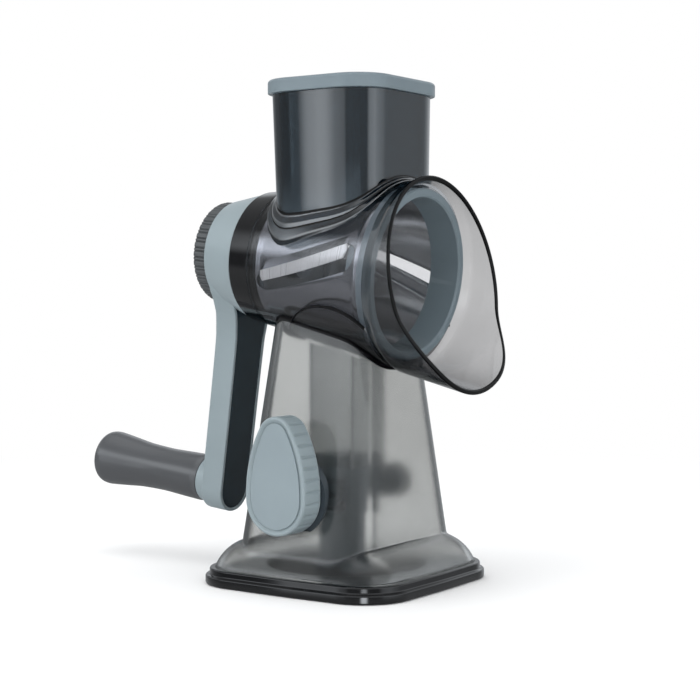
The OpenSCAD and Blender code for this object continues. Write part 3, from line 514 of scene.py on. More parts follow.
STEEL = brushed("drum_steel", "#c4c5ca", 0.2, 0.05)
# Painted highlight: the blades are the drum's steel, painted near-white and half matt so they read as
# lit.
BLADE_PAINTED_HIGHLIGHT = brushed("blade_steel_painted_highlight", "#f2f2f2", 0.3, 0.05, metal=0.4)
# Painted light: the drum's inner side is the same steel painted lighter, so the inside seen through the
# mouth reads as lit.
DRUM_INSIDE_PAINTED_LIGHT = brushed("drum_inside_painted_light", "#e9e9ea", 0.18, 0.02, strength=0.0)
WELT = plastic("black_edge", "#070708", "#1c1d1e", rough=0.3, wear=0.3, shine=0.2)
FASTENER = brushed("fastener_steel", "#b5b7ba", 0.28, 0.06)

# Base and tower

# Heights of the tower's first rings over the skirt, closest where the foot runs out into the tower
FOOT_LIFTS = [0, 0.5, 1.4, 2.4, 3.4, 4.5, 5.6, 6.7, 7.8, 8.8, 9.8, 10.7, 11.5, 12.1, 12.6, 13, 13.35,
              13.6, 13.75, 14.4, 15.6, 17.5, 20.5]


def base_ring(half, corner, z):
    """A ring of the base's outline, with sides that bow out a little."""
    points = []
    for a in ANGLES:
        out = reach(a, half - BASE_BOW, half - BASE_BOW, corner) + BASE_BOW * math.cos(2 * a) ** 2
        points.append((out * math.cos(a), out * math.sin(a), z))
    return points


def round_ring(radius, z):
    """A round ring at a height."""
    return [(radius * math.cos(a), radius * math.sin(a), z) for a in ANGLES]


def make_skirt():
    """Black skirt in two tiers, hollow for the suction cup."""
    upper, upper_corner = BASE_HALF - TIER_STEP, BASE_CORNER - TIER_STEP
    bm = walled([
        round_ring(CUP_ROOM_R, 0), round_ring(CUP_ROOM_R, LEDGE_Z), round_ring(LEDGE_HOLE_R, LEDGE_Z),
        round_ring(LEDGE_HOLE_R, SKIRT_H), base_ring(upper, upper_corner, SKIRT_H),
        base_ring(upper, upper_corner, TIER_H), base_ring(BASE_HALF, BASE_CORNER, TIER_H),
        base_ring(BASE_HALF, BASE_CORNER, 0)], closed=True)
    softened(bm, 0.8, 3, 40)
    piece("black_skirt", bm, "stand", BLACK, ["base_skirt"])


def tower_edge(angle, z):
    """Distance from the middle to the tower's or flare's outer face at a height."""
    share = (z - SKIRT_H) / (TOWER_TOP_Z - SKIRT_H)
    tower = reach(angle, mix(TOWER_FOOT_X, TOWER_TOP, share), mix(TOWER_FOOT_Y, TOWER_TOP, share),
                  mix(TOWER_CORNER, TOWER_CORNER_TOP, share))
    lift = (z - SKIRT_H) / FLARE_R + math.sin(FLARE_START)
    if lift >= 1:
        return tower
    back = FLARE_R * (math.cos(FLARE_START) - math.sqrt(1 - lift * lift))
    half = FLARE_HALF - back
    bow = BASE_BOW * math.cos(2 * angle) ** 2
    flare = reach(angle, half - BASE_BOW, half - BASE_BOW, max(FLARE_CORNER - back, 1)) + bow
    return joined(tower, flare, JOIN_R)


def tower_point(angle, z):
    """A point of the tower's or flare's outer face at a height."""
    out = tower_edge(angle, z)
    return (out * math.cos(angle), out * math.sin(angle), z)


def tower_top(angle):
    """Height at which the tower's face meets the barrel."""
    return holds_up_to(lambda z: off_barrel(tower_point(angle, z)) > -SEAT * 3, SKIRT_H, AXIS_Z)


def make_tower():
    """Frosted tower with its flared foot, and a black line where it meets the barrel."""
    rings = [[tower_point(a, SKIRT_H + lift) for a in ANGLES] for lift in FOOT_LIFTS]
    tops = [tower_top(a) for a in ANGLES]
    start = SKIRT_H + FOOT_LIFTS[-1]
    for share in (0.12, 0.3, 0.5, 0.7, 0.85, 0.95, 1):
        rings.append([tower_point(a, mix(start, top - TOWER_LINE, share))
                      for a, top in zip(ANGLES, tops)])
    rings.append([tower_point(a, top) for a, top in zip(ANGLES, tops)])
    bm = walled(rings)
    banded(bm, COLUMNS, len(rings) - 2)
    piece("smoky_tower", bm, "stand", [SMOKE_TOWER, WELT], ["pedestal"],
          wall=TOWER_WALL, sharp=80)


# Hood and chute

RIM_TOP_Z = AXIS_Z + BARREL_R1 + SHELL_WALL
SPOUT_Z0, SPOUT_Z1 = AXIS_Z - 0.44 * BARREL_R1, AXIS_Z - 1.24 * BARREL_R1
CHUTE_FOOT_Z = AXIS_Z + BARREL_R0 * 0.36
CHUTE_TOP_Z = LID_TOP - LID_T - SEAT * 3
# How far each ring of the chute's foot stands out, and its height over the barrel
WELT_FORM = [(4.1, -0.1), (4.1, 0.5), (3.8, 0.8), (2.3, 0.85), (2.1, 1.05), (2, 1.5), (1.7, 1.8),
             (0.5, 1.95), (0.12, 2.25), (0, 3), (0, 5)]
BLACK_BANDS = (3, 8)


def rim_x(z):
    """Forward place of the hood's rim at a height."""
    spout = ease((SPOUT_Z0 - z) / (SPOUT_Z0 - SPOUT_Z1))
    return RIM_TOP_X + RIM_LEAN * (RIM_TOP_Z - z) + SPOUT_OUT * spout


def hood_r(station):
    """Outer radius of the hood at a station."""
    if station < HOOD_START:
        return mix(BARREL_R1, HOOD_R0, (station - BARREL_FRONT) / (HOOD_START - BARREL_FRONT))
    return mix(HOOD_R0, HOOD_R1, (station - HOOD_START) / (HOOD_REACH - HOOD_START))


def rim_station(angle):
    """Station at which a line along the hood meets its rim."""
    def behind_rim(station):
        r = hood_r(station)
        p = AXIS @ Vector((r * math.cos(angle), r * math.sin(angle), station))
        return p.x < rim_x(p.z)
    return holds_up_to(behind_rim, BARREL_FRONT, HOOD_REACH)


def make_hood():
    """Flared hood whose rim is cut to a spout, with a black edge."""
    rims = [rim_station(a) for a in ANGLES]
    neck = [BARREL_FRONT + way for way in (SEAT, 1.2, 2.6, 4)]
    shares = [0, 0.1, 0.25, 0.45, 0.65, 0.82, 0.93]
    backs = [RIM_BLACK, RIM_BLACK / 2, 0]

    def ring(drop, stations):
        return [((hood_r(s) - drop) * math.cos(a), (hood_r(s) - drop) * math.sin(a), s)
                for a, s in zip(ANGLES, stations)]

    def face(drop):
        """Rings from barrel to rim, at a depth under the outer face."""
        rings = [ring(drop, [s] * COLUMNS) for s in neck]
        rings += [ring(drop, [mix(HOOD_START, rim - RIM_BLACK, share) for rim in rims])
                  for share in shares]
        return rings + [ring(drop, [rim - back for rim in rims]) for back in backs]
    outer = face(0)
    bm = walled(outer + face(SHELL_WALL)[::-1], closed=True)
    banded(bm, COLUMNS, *range(len(outer) - len(backs), len(outer) + len(backs) - 1))
    tidied(bm)
    lips = [e for e in bm.edges if e.calc_face_angle() > RIGHT / 2 and e.verts[0].co.z > HOOD_START]
    bmesh.ops.bevel(bm, geom=lips, offset=RIM_ROUND, segments=3, profile=0.5, affect="EDGES",
                    material=1)
    piece("outlet_hood_shell", bm, "stand", [SMOKE_HOOD, WELT], ["outlet_hood"],
          place=AXIS, sharp=60)


def chute_point(angle, z, grow=0):
    """A point of the chute's bowed square outline at a height."""
    share = (z - CHUTE_FOOT_Z) / (CHUTE_TOP_Z - CHUTE_FOOT_Z)
    narrow = mix(CHUTE_DRAFT_X, 1, share)
    half_x = (LID_X / 2 - LID_OVER + grow) * narrow
    half_y = (LID_Y / 2 - LID_OVER + grow) * mix(CHUTE_DRAFT_Y, 1, share)
    c, s = math.cos(angle), math.sin(angle)
    out = (abs(c / half_x) ** CHUTE_POWER + abs(s / half_y) ** CHUTE_POWER) ** (-1 / CHUTE_POWER)
    return (CHUTE_X + CHUTE_STILL * (1 - narrow) + out * c, out * s, z)


def chute_foot(angle, grow, lift):
    """Height at which the chute's face comes down to a layer over the barrel."""
    return holds_up_to(lambda z: off_barrel(chute_point(angle, z, grow)) <= lift, AXIS_Z, CHUTE_TOP_Z)


def make_chute():
    """Bowed square chute, open at both ends, with a double welt round its foot."""
    rings = [[chute_point(a, chute_foot(a, grow, lift), grow) for a in ANGLES]
             for grow, lift in WELT_FORM]
    feet = [chute_foot(a, *WELT_FORM[-1]) for a in ANGLES]
    for share in (0.2, 0.45, 0.7, 0.9, 1):
        rings.append([chute_point(a, mix(foot, CHUTE_TOP_Z, share)) for a, foot in zip(ANGLES, feet)])
    rings.append([chute_point(a, CHUTE_TOP_Z, -SHELL_WALL) for a in ANGLES])
    feet = [chute_foot(a, -SHELL_WALL, -SEAT) for a in ANGLES]
    for share in (0.1, 0.5, 1):
        rings.append([chute_point(a, mix(CHUTE_TOP_Z, foot, share), -SHELL_WALL)
                      for a, foot in zip(ANGLES, feet)])
    bm = walled(rings, closed=True)
    banded(bm, COLUMNS, *BLACK_BANDS)
    piece("feed_chute_shell", bm, "stand", [SMOKE_CHUTE, WELT], ["feed_chute"], sharp=60)


def saddle_reach(station):
    """Angle from the barrel's underside to the saddle's round edge at a station, or none."""
    r = barrel_r(station)

    def inside(angle):
        p = AXIS @ Vector((r * math.cos(angle), r * math.sin(angle), station))
        return math.hypot(p.x - SADDLE_X, p.z - SADDLE_TOP + SADDLE_R) < SADDLE_R
    return holds_up_to(inside, 0, RIGHT * 1.2) if inside(0) else None


def make_saddle():
    """Smoky saddle under the barrel with a black welt along its round edge."""
    first = next(s / 10 for s in range(int(BARREL_REAR * 10), 0) if saddle_reach(s / 10))
    last = BARREL_FRONT - SEAT * 3
    # The welt's round top, as shares of its width and of its thickness
    welt = [(0, 0.5), (0.15, 0.85), (0.5, 1), (0.85, 0.85), (1, 0.45)]
    rings = []
    for i in range(SADDLE_ROWS + 1):
        s = mix(first, last, ease(i / SADDLE_ROWS))
        wide, r = saddle_reach(s), barrel_r(s)
        lip = min(SADDLE_WELT / r, wide * 0.4)
        half = [(wide, SADDLE_LIFT)] + [(wide - lip * in_by, SADDLE_T * up) for in_by, up in welt]
        half += [((wide - lip) * k / 20, SADDLE_SKIN) for k in range(19, -1, -1)]
        top = half + [(-a, h) for a, h in half[-2::-1]]
        under = [(mix(-wide, 0, k / 12), SADDLE_LIFT) for k in range(1, 24)]
        rings.append([((r + h) * math.cos(a), (r + h) * math.sin(a), s) for a, h in top + under])
    bm = walled(rings)
    bmesh.ops.holes_fill(bm, edges=[e for e in bm.edges if e.is_boundary], sides=0)
    tidied(bm)
    for f in bm.faces:
        c = f.calc_center_median()
        r = math.hypot(c.x, c.y)
        wide = saddle_reach(min(max(c.z, first), last)) or 0
        on_welt = (wide - abs(math.atan2(c.y, c.x))) * r < SADDLE_WELT
        f.material_index = int(on_welt and r > barrel_r(c.z) + 0.2)
    piece("saddle_with_welt", bm, "stand", [SMOKE_SADDLE, WELT], ["saddle_collar"],
          place=AXIS, sharp=60)


def make_lid():
    """Lid with a softly rounded top edge."""
    bm = slab(LID_X, LID_Y, LID_CORNER, LID_TOP - LID_T, LID_TOP)
    softened(bm, 0.5, 2, 60, level_with(LID_TOP - LID_T))
    softened(bm, 1.5, 4, 60, level_with(LID_TOP))
    bmesh.ops.translate(bm, vec=(CHUTE_X, 0, 0), verts=bm.verts)
    # The lid takes the darker blue-grey, a painted shade.
    piece("lid", bm, "pusher", BLUE_GREY_PAINTED_SHADE, ["pusher_lid"], sharp=70)


# Band, drum and mouth ring


def make_band():
    """Black band between crank and barrel, with a lip in the barrel and a boss for the shaft."""
    rear = BARREL_REAR - BAND_LEN
    wall = barrel_r(BARREL_REAR) - SHELL_WALL - SEAT
    back, boss, lip = rear + BAND_BACK, rear + BAND_BOSS, BARREL_REAR + BAND_LIP
    bm = turned([(BAND_BORE, rear), (barrel_r(rear), rear), (barrel_r(BARREL_REAR), BARREL_REAR - SEAT),
                 (wall, BARREL_REAR - SEAT), (wall, lip), (wall - BAND_WALL, lip),
                 (wall - BAND_WALL, back), (BAND_BOSS_R, back), (BAND_BOSS_R, boss), (BAND_BORE, boss)])
    softened(bm, 0.7, 3, 50)
    piece("black_band", bm, "stand", BLACK, ["rear_flange"], place=AXIS)


def drum_point(slot, way, z, lift=0):
    """A point on the drum, at a way round from the slanted middle line of one slot."""
    angle = SLOT_AT + slot * TURN / BLADES + (way - math.tan(SLOT_TURN) * z) / drum_r(0)
    r = drum_r(z) + lift
    return (r * math.cos(angle), r * math.sin(angle), z)


def rolled(z):
    """How far the drum's rolled ends stand out at a station."""
    rear, front = DRUM_REAR + ROLL_REAR, DRUM_FRONT - ROLL_FRONT
    return ROLL_H * sum(math.exp(-((z - roll) / ROLL_W) ** 2) for roll in (rear, front))


def slot_end(way):
    """Distance from the slot's middle to its round end, at a way across the slot."""
    return SLOT_STRAIGHT + math.sqrt(max(SLOT_HALF * SLOT_HALF - way * way, 0))


def make_drum():
    """Steel sheet with slanted slots and rolled ends."""
    pitch = TURN / BLADES * drum_r(0)
    ways = [SLOT_HALF * math.sin(math.radians(a)) for a in range(-90, 91, 15)]
    ways += [mix(SLOT_HALF, pitch - SLOT_HALF, k / 20) for k in range(1, 20)]
    lines = []
    for slot in range(BLADES):
        for way in ways:
            end = slot_end(way)
            marks = [mix(a, b, k / 12) for a, b in ((DRUM_REAR, -end), (-end, end), (end, DRUM_FRONT))
                     for k in range(12)]
            lines.append([drum_point(slot, way, z, rolled(z)) for z in marks + [DRUM_FRONT]])
    bm = walled(list(zip(*lines)))

    def in_slot(f):
        c = f.calc_center_median()
        way = (math.atan2(c.y, c.x) - SLOT_AT) * drum_r(0) + math.tan(SLOT_TURN) * c.z
        way = (way + pitch / 2) % pitch - pitch / 2
        # A face just past the round end can have its middle a little inside the arc
        return abs(way) < SLOT_HALF and abs(c.z) < slot_end(way) - 1
    bmesh.ops.delete(bm, geom=[f for f in bm.faces if in_slot(f)], context="FACES")
    # The drum's inner side takes the lighter steel, a painted light.
    piece("drum_sheet", bm, "drum", [STEEL, DRUM_INSIDE_PAINTED_LIGHT], ["drum_shell"],
          place=AXIS, sharp=60, wall=SHEET_T, inside_index=1)


def make_blades():
    """A raised ramp with a blade beside each slot; the blade's faces are painted near-white, a painted
    highlight.
    """
    # Way across, lift over the drum, and how much shorter than the slot at either end
    strip = [(-RAMP_W, -0.1, 4, 5.5), (0, BLADE_H, 3.4, 4.8),
             (BLADE_W / 2, BLADE_H - BLADE_SAG, 3, 4.2), (BLADE_W, BLADE_H, 4.2, 5.6)]
    end, steps = SLOT_STRAIGHT + SLOT_HALF, 24
    bm = bmesh.new()
    for slot in range(BLADES):
        rows = []
        for across, lift, rear_cut, front_cut in strip:
            way = across / math.cos(SLOT_TURN) - SLOT_HALF
            rows.append([drum_point(slot, way, mix(rear_cut - end, end - front_cut, k / steps), lift)
                         for k in range(steps + 1)])
        one = netted(rows)
        # Rows 1 and 2 are the blade's faces, with the painted highlight.
        banded(one, steps, 1, 2)
        added(bm, one)
    # The blades' inner sides take the lighter steel, a painted light.
    piece("blades", bm, "drum", [STEEL, BLADE_PAINTED_HIGHLIGHT, DRUM_INSIDE_PAINTED_LIGHT], place=AXIS, sharp=12,
          wall=SHEET_T, inside_index=2)


def make_mouth_ring():
    """Blue-grey ring that is pressed into the drum's mouth and covers its edge."""
    rear, front, end = DRUM_FRONT - RING_LEN, DRUM_FRONT, DRUM_FRONT + RING_LEN
    sleeve, over = drum_r(front) - RING_DROP, drum_r(end) + RING_OVER
    bm = turned([(RING_BORE, rear), (drum_r(rear) - RING_DROP, rear), (sleeve, front - SEAT),
                 (sleeve, front + SEAT), (drum_r(front) + RING_STEP, front + SEAT),
                 (over, end - RING_LIP), (over - RING_LIP, end), (RING_BORE + RING_LIP, end),
                 (RING_BORE, end - RING_LIP)])
    softened(bm, 0.6, 3, 25)
    # The mouth ring takes the darker blue-grey, a painted shade.
    piece("mouth_ring", bm, "drum", BLUE_GREY_PAINTED_SHADE, ["drum_front_ring"], place=AXIS)


# Crank


def arm_out(distance):
    """Station of the arm's outer face at a distance from the axis."""
    return HEAD_REAR + ARM_SET_IN - ARM_LEAN * (distance - HEAD_R1)


def arm_bar():
    """The arm's flat bar, wide at the head, round at the tip and sunk for its cover."""
    end = ARM_LEN + ARM_TIP
    # Shares of the length, and of the root's extra width that is left there
    form = [(0.085, 1.34), (0.153, 1), (0.187, 0.7), (0.229, 0.42), (0.257, 0.27), (0.32, 0.13),
            (0.38, 0.06), (0.61, 0.02), (0.9, 0)]
    side = curve([(share * end, mix(ARM_END_W, ARM_ROOT_W, wide) / 2) for share, wide in form], 4)
    tip = end + ARM_END_W / 2
    side.append((tip, ARM_END_W / 2))
    bm = bmesh.new()
    bm.faces.new([bm.verts.new((x, y, 0)) for x, y in side + [(x, -y) for x, y in side[::-1]]])
    square = [v for v in bm.verts if v.co.x > tip - 0.1]
    bmesh.ops.bevel(bm, geom=square, offset=ARM_END_W / 2 - 0.05, segments=20, profile=0.5,
                    affect="VERTICES", material=-1)
    raised(bm, ARM_T)
    tidied(bm)
    inner = [f for f in bm.faces if f.normal.z > 0.9]
    bmesh.ops.inset_region(bm, faces=inner, thickness=COVER_RIM, depth=0, use_even_offset=True)
    made = bmesh.ops.extrude_face_region(bm, geom=inner)["geom"]
    bmesh.ops.delete(bm, geom=inner, context="FACES")
    bmesh.ops.translate(bm, vec=(0, 0, -COVER_DEEP), verts=verts_of(made))
    softened(bm, 1.5, 4, 60, level_with(0))
    softened(bm, 0.5, 2, 60, level_with(ARM_T))
    lean = Matrix.Identity(4)
    lean[2][0], lean[2][3] = -ARM_LEAN, arm_out(0)
    bmesh.ops.transform(bm, matrix=lean, verts=bm.verts)
    return bm


def arm_head():
    """The crank's hollow round head, with a hub for the shaft and a hole for the nut."""
    back, hub = HEAD_REAR + HEAD_BACK, HEAD_FRONT - HUB_SHORT
    bm = turned([(NUT_HOLE_R, HEAD_REAR), (HEAD_R0, HEAD_REAR), (HEAD_R1, HEAD_FRONT),
                 (HEAD_R1 - HEAD_EDGE, HEAD_FRONT), (HEAD_R0 - HEAD_WALL, back), (HUB_R, back),
                 (HUB_R, hub), (HUB_HOLE_R, hub), (HUB_HOLE_R, HEAD_REAR + NUT_HOLE_H),
                 (NUT_HOLE_R, HEAD_REAR + NUT_HOLE_H)])
    softened(bm, 0.8, 3, 50)
    return bm


def arm_boss():
    """The round boss that the grip turns against."""
    out = arm_out(ARM_LEN)
    bm = turned([(0, out - ARM_BOSS), (ARM_BOSS_R, out - ARM_BOSS), (ARM_BOSS_R, out + ARM_BOSS_IN),
                 (0, out + ARM_BOSS_IN)], closed=False)
    softened(bm, 0.5, 2, 50)
    bmesh.ops.translate(bm, vec=(ARM_LEN, 0, 0), verts=bm.verts)
    return bm


def make_arm():
    """The crank's arm with its head and boss."""
    bm = arm_bar()
    added(bm, arm_head())
    added(bm, arm_boss())
    piece("crank_with_head", bm, "crank", BLUE_GREY, ["crank_arm"], place=AXIS)


def make_nut():
    """The nut, with narrow grooves in pairs round its edge."""
    low, high = HEAD_REAR - NUT_T, HEAD_REAR - SEAT
    # Radius, station, and depth of the grooves there
    form = [(NUT_BORE, low, 0), (NUT_R - 2.6, low, 0), (NUT_R - 1.2, low + 0.15, 0.1),
            (NUT_R - 0.35, low + 0.6, 0.6), (NUT_R, low + 1.4, 0.9), (NUT_R, high - 1.2, 0.9),
            (NUT_R - 0.3, high - 0.3, 0.5), (NUT_R - 1, high, 0), (NUT_NECK_R, high, 0),
            (NUT_NECK_R, high + NUT_NECK, 0), (NUT_BORE, high + NUT_NECK, 0)]
    grooved = []
    for i in range(NUT_PAIRS * PAIR_STEPS):
        share = i % PAIR_STEPS / PAIR_STEPS
        groove = max(math.exp(-((share - at) / GROOVE_W) ** 2) for at in GROOVES)
        grooved.append((TURN * i / (NUT_PAIRS * PAIR_STEPS), groove))
    bm = walled([[((radius - cut * groove) * math.cos(a), (radius - cut * groove) * math.sin(a), z)
                  for a, groove in grooved] for radius, z, cut in form], closed=True)
    piece("head_nut", bm, "nut", NUT_GREY, ["hub_nut"], place=AXIS, sharp=60)


def make_grip():
    """Waisted grip with a recess for its end cap."""
    inner = arm_out(ARM_LEN) - ARM_BOSS - GRIP_GAP
    # Radius at shares of the length
    form = [(11.7, 0.03), (11.45, 0.16), (11.05, 0.32), (11, 0.42), (11.5, 0.6), (12.7, 0.76),
            (13.6, 0.88), (13.8, 0.93), (13.4, 0.965), (12.3, 0.985), (10.6, 0.997)]
    side = curve([(r, share * GRIP_LEN) for r, share in form], 4)
    floor = GRIP_LEN - GRIP_CAP_DEEP
    bm = turned([(GRIP_BORE, 0), (GRIP_FOOT_R, 0)] + side
                + [(GRIP_CAP_R + GRIP_CAP_EDGE, GRIP_LEN), (GRIP_CAP_R, GRIP_LEN - GRIP_CAP_EDGE),
                   (GRIP_CAP_R, floor), (GRIP_BORE, floor)])
    flip = Matrix.Translation((ARM_LEN, 0, inner)) @ Matrix.Rotation(math.pi, 4, "X")
    piece("grip_handle", bm, "grip", GRIP_GREY, ["grip"], place=AXIS @ flip, sharp=45)


# Knob


def egg(inset):
    """Points of the knob's outline, evenly spread and drawn in by an amount."""
    top = KNOB_H - KNOB_R0 - KNOB_R1
    a, b = KNOB_FLANK_R - KNOB_R0, KNOB_FLANK_R - KNOB_R1
    flank_y = (top * top + a * a - b * b) / (2 * top)
    flank_x = -math.sqrt(a * a - flank_y * flank_y)
    low, high = math.atan2(-flank_y, -flank_x), math.atan2(top - flank_y, -flank_x)
    arcs = [(0, 0, KNOB_R0, -RIGHT, low), (flank_x, flank_y, KNOB_FLANK_R, low, high),
            (0, top, KNOB_R1, high, RIGHT)]
    total = sum(r * (e - s) for _, _, r, s, e in arcs)
    right = []
    for i in range(KNOB_POINTS // 2 + 1):
        way = total * i / (KNOB_POINTS // 2)
        for x, y, r, s, e in arcs:
            if way <= r * (e - s) + 1e-6:
                angle = s + way / r
                right.append((x + (r - inset) * math.cos(angle), y + (r - inset) * math.sin(angle)))
                break
            way -= r * (e - s)
    return right + [(-x, y) for x, y in right[-2:0:-1]]


def make_knob():
    """Egg-shaped knob with notches round its flank and a sunk face."""
    back, front = KNOB_FACE_Y - KNOB_T, KNOB_FACE_Y
    # Inset of the outline, height, and depth of the notches there
    form = [(2.2, back, 0), (1.2, back, 0), (0.3, back + 0.35, 0), (0, back + 1.1, 0),
            (0, back + 2, NOTCH_DEEP), (0, front - 2.6, NOTCH_DEEP), (0, front - 1.7, 0),
            (0.12, front - 0.7, 0), (0.5, front - 0.2, 0), (0.95, front, 0), (1.4, front - 0.08, 0),
            (1.9, front - 0.4, 0), (2.4, front - 0.85, 0), (PLATE_INSET, front - 1.1, 0),
            (5, front - 1.15, 0)]
    rings = []
    for inset, z, cut in form:
        ring = []
        for i, (p, q) in enumerate(zip(egg(inset), egg(inset + 1))):
            share = i * NOTCHES / KNOB_POINTS % 1
            notch = cut * ease(1 - abs(share - 0.5) / NOTCH_HALF)
            ring.append((mix(p[0], q[0], notch), mix(p[1], q[1], notch), z))
        rings.append(ring)
    bm = walled(rings)
    bmesh.ops.holes_fill(bm, edges=[e for e in bm.edges if e.is_boundary], sides=0)
    piece("knob_body", bm, "knob", BLUE_GREY, ["lock_knob"], place=PIVOT)


def make_knob_plate():
    """Plate in the knob's sunk face."""
    bm = bmesh.new()
    bm.faces.new([bm.verts.new((x, y, KNOB_FACE_Y - PLATE_BACK)) for x, y in egg(PLATE_INSET)])
    raised(bm, PLATE_T)
    softened(bm, 0.4, 3, 60)
    piece("knob_plate", bm, "knob", KNOB_PLATE, ["knob_face"], place=PIVOT)


# Suction cup


def make_cup():
    """Rubber cup, turned from its profile, that rides on no body."""
    bm = turned([(0, 3), (20, 2.75), (32, 2.2), (40, 1.1), (44.2, 0.4), (46, 0.4), (46, 1.6), (42, 3),
                 (37, 3.9), (32, 4.5), (32, 5.9), (0, 5.9)], closed=False)
    softened(bm, 0.4, 2, 40)
    cup = piece("rubber_cup", bm, None, RUBBER, ["suction_cup"])
    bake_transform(cup)


for make in (make_skirt, make_tower, make_hood, make_chute, make_saddle, make_lid, make_band,
             make_drum, make_blades, make_mouth_ring, make_arm, make_nut, make_grip, make_knob,
             make_knob_plate, make_cup):
    make()

# Finishes of the frame's own nodes that stay
for finish, names in (
        (SMOKE_BARREL, ["barrel_housing"]),
        (SMOKE_DUCT, ["guide_duct"]),
        (IVORY, ["rear_bush"]),
        (SLATE, ["knob_collar", "shaft_end_boss", "cup_disc", "cam_shaft", "drum_hub"]),
        (INNER, ["stem_yoke"]),
        (COVER, ["arm_cover"]),
        (FASTENER, ["knob_screw", "grip_bolt", "drive_shaft"]),
        (GRIP_GREY, ["grip_cap"]),
        # The pusher body takes the darker blue-grey, a painted shade.
        (BLUE_GREY_PAINTED_SHADE, ["pusher_body"])):
    for name in names:
        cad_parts[name].data.materials[0] = finish

# Floor, room, lamps and camera

FLOOR_R, FADE_START, FADE_END = 12, 0.16, 0.6
# Stops of the room that mirror-like pieces see: a share of its height or of the way round, and a level
ROOM = [(0, 0.12), (0.25, 0.14), (0.4, 0.2), (0.45, 0.03), (0.55, 0.03), (0.62, 0.12), (0.88, 0.15),
        (0.975, 0.5)]
HORIZON = ([(0.4, 0), (0.45, 1), (0.55, 1), (0.6, 0)],
           [(0, 0.05), (0.14, 0.04), (0.1445, 0.08), (0.147, 0.16), (0.1485, 0.38), (0.15, 0.66),
            (0.1515, 0.86), (0.155, 0.85), (0.16, 0.74), (0.1666, 0.58), (0.178, 0.4), (0.22, 0.3),
            (0.235, 0.1), (0.44, 0.08), (0.47, 0.5), (0.53, 0.62), (0.55, 0.47), (0.577, 0.37),
            (0.597, 0.3), (0.615, 0.17), (0.7, 0.1), (0.75, 0.3), (1, 0.05)])
UPPER_WINDOWS = ([(0.56, 0), (0.64, 1), (0.73, 1), (0.79, 0)],
                 [(0, 0.2), (0.09, 0.3), (0.118, 1), (0.16, 1), (0.24, 0.8), (0.35, 0.5), (0.5, 0.9),
                  (0.65, 0.4), (1, 0.2)])
LOW_STRIP = ([(0.34, 0), (0.38, 1), (0.44, 1), (0.47, 0)],
             [(0.318, 0), (0.333, 4), (0.354, 4), (0.369, 0)])
MIDDLE = (0, 0, 0.12)
LENS, SENSOR = 83.31, 36
CAMERA_AT = (0.43354, -0.63404, 0.13936)
CAMERA_DIP, CAMERA_TURN = math.radians(2.264), math.radians(34.23)


def ray_share(tree, path, *kinds):
    """One for rays of any of some kinds, else nothing."""
    share = path.outputs[kinds[0]]
    for kind in kinds[1:]:
        share = node(tree, "ShaderNodeMath", None, {0: share, 1: path.outputs[kind]},
                     operation="MAXIMUM").outputs[0]
    return share


def make_floor():
    """A pale floor that fades to white; mirror-like pieces see the room below it instead."""
    bm = bmesh.new()
    bmesh.ops.create_circle(bm, cap_ends=True, segments=96, radius=FLOOR_R)
    mesh = bpy.data.meshes.new("floor")
    bm.to_mesh(mesh)
    bm.free()
    floor = bpy.data.objects.new("floor", mesh)
    floor.location = (0, 0, -0.2 * MM)
    scene.collection.objects.link(floor)
    made, tree, out = material("white_floor")
    place = node(tree, "ShaderNodeTexCoord")
    far = node(tree, "ShaderNodeVectorMath", None, {0: place.outputs["Object"]}, operation="LENGTH")
    fade = node(tree, "ShaderNodeMapRange", {1: FADE_START, 2: FADE_END, 3: 0.0, 4: 1.0},
                {0: far.outputs["Value"]}, interpolation_type="SMOOTHSTEP")
    matt = node(tree, "ShaderNodeBsdfDiffuse", {"Color": (0.95, 0.95, 0.95, 1)})
    glow = node(tree, "ShaderNodeEmission", {"Color": (1, 1, 1, 1), "Strength": 1.0})
    path = node(tree, "ShaderNodeLightPath")
    seen = ray_share(tree, path, "Is Camera Ray", "Is Transmission Ray")
    factor = node(tree, "ShaderNodeMath", None, {0: fade.outputs[0], 1: seen}, operation="MULTIPLY")
    both = node(tree, "ShaderNodeMixShader", None,
                {0: factor.outputs[0], 1: matt.outputs[0], 2: glow.outputs[0]})
    clear = node(tree, "ShaderNodeBsdfTransparent")
    mirrored = node(tree, "ShaderNodeMath", None,
                    {0: path.outputs["Is Glossy Ray"], 1: path.outputs["Is Reflection Ray"]},
                    operation="MULTIPLY")
    all_rays = node(tree, "ShaderNodeMixShader", None,
                    {0: mirrored.outputs[0], 1: both.outputs[0], 2: clear.outputs[0]})
    tree.links.new(all_rays.outputs[0], out.inputs[0])
    mesh.materials.append(made)


def light_ramp(tree, share, stops):
    """Cool grey levels along a share from nothing to one."""
    ramp = node(tree, "ShaderNodeValToRGB", None, {0: share})
    marks = ramp.color_ramp.elements
    while len(marks) < len(stops):
        marks.new(0.5)
    for mark, (at, level) in zip(marks, stops):
        mark.position, mark.color = at, (0.96 * level, 0.985 * level, 1.01 * level, 1)
    return ramp.outputs[0]


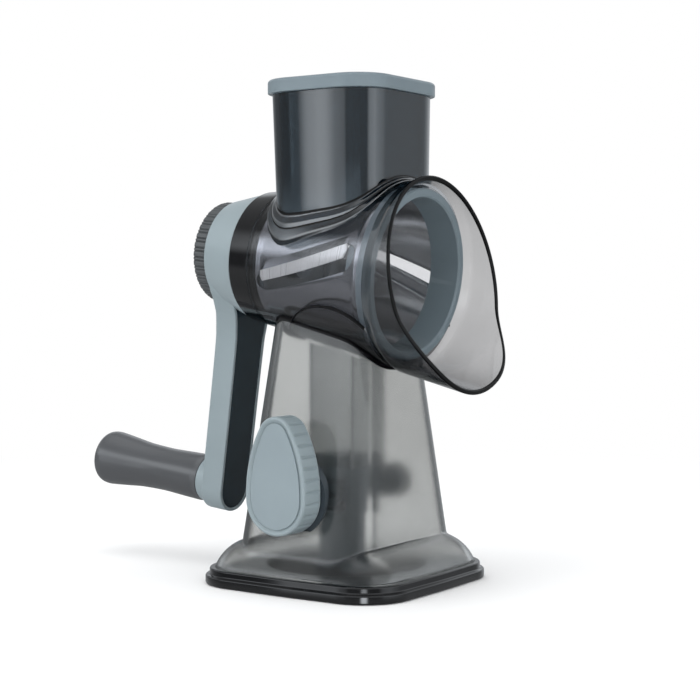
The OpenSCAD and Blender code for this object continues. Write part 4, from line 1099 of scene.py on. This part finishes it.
def make_world():
    """White to the eye, soft to matt pieces, and a dark room with bright patches to mirrors."""
    world = bpy.data.worlds.new("studio")
    scene.world = world
    world.use_nodes = True
    tree = world.node_tree
    tree.nodes.clear()
    out = node(tree, "ShaderNodeOutputWorld")
    path = node(tree, "ShaderNodeLightPath")
    place = node(tree, "ShaderNodeTexCoord")
    way = node(tree, "ShaderNodeSeparateXYZ", None, {0: place.outputs["Generated"]})
    height = node(tree, "ShaderNodeMapRange", {1: -1.0, 2: 1.0}, {0: way.outputs["Z"]}).outputs[0]
    angle = node(tree, "ShaderNodeMath", None, {0: way.outputs["Y"], 1: way.outputs["X"]},
                 operation="ARCTAN2")
    turn = node(tree, "ShaderNodeMapRange", {1: -math.pi, 2: math.pi}, {0: angle.outputs[0]})
    around = turn.outputs[0]
    room = light_ramp(tree, height, ROOM)
    for heights, turns in (HORIZON, UPPER_WINDOWS, LOW_STRIP):
        patch = node(tree, "ShaderNodeMix", {0: 1.0},
                     {6: light_ramp(tree, height, heights), 7: light_ramp(tree, around, turns)},
                     data_type="RGBA", blend_type="MULTIPLY")
        room = node(tree, "ShaderNodeMix", {0: 1.0}, {6: room, 7: patch.outputs[2]},
                    data_type="RGBA", blend_type="ADD").outputs[2]
    dim = node(tree, "ShaderNodeBackground", {"Color": (0.97, 0.985, 1, 1), "Strength": 0.62})
    mirror = node(tree, "ShaderNodeBackground", {"Strength": 1.9}, {"Color": room})
    white = node(tree, "ShaderNodeBackground", {"Color": (1, 1, 1, 1), "Strength": 1.0})
    bounced = node(tree, "ShaderNodeMixShader", None,
                   {0: path.outputs["Is Glossy Ray"], 1: dim.outputs[0], 2: mirror.outputs[0]})
    both = node(tree, "ShaderNodeMixShader", None,
                {0: ray_share(tree, path, "Is Camera Ray", "Is Transmission Ray"),
                 1: bounced.outputs[0], 2: white.outputs[0]})
    tree.links.new(both.outputs[0], out.inputs[0])


def lamp(name, place, width, height, power):
    """A softbox that shines at the object's middle, and that no mirror or clear piece shows."""
    data = bpy.data.lights.new(name, "AREA")
    data.shape, data.size, data.size_y = "RECTANGLE", width, height
    data.energy = power
    obj = bpy.data.objects.new(name, data)
    scene.collection.objects.link(obj)
    obj.location = place
    obj.rotation_euler = (Vector(MIDDLE) - Vector(place)).to_track_quat("-Z", "Y").to_euler()
    obj.visible_camera = obj.visible_glossy = obj.visible_transmission = False


def make_camera():
    """The camera at the photograph's place, level but for a small dip."""
    data = bpy.data.cameras.new("camera")
    data.lens, data.sensor_width = LENS, SENSOR
    camera = bpy.data.objects.new("camera", data)
    camera.location = CAMERA_AT
    camera.rotation_euler = (RIGHT - CAMERA_DIP, 0, CAMERA_TURN)
    scene.collection.objects.link(camera)
    scene.camera = camera


make_floor()
make_world()
lamp("key_softbox", (-1.0, -1.25, 0.9), 1.6, 1.6, 11)
lamp("top_softbox", (0.1, -0.2, 1.4), 1.2, 1.2, 9)
lamp("fill_softbox", (1.2, -0.8, 0.4), 1.0, 1.0, 5)
lamp("back_softbox", (-0.9, 0.9, 0.6), 0.8, 1.0, 5)
make_camera()
scene.view_settings.view_transform = "Standard"
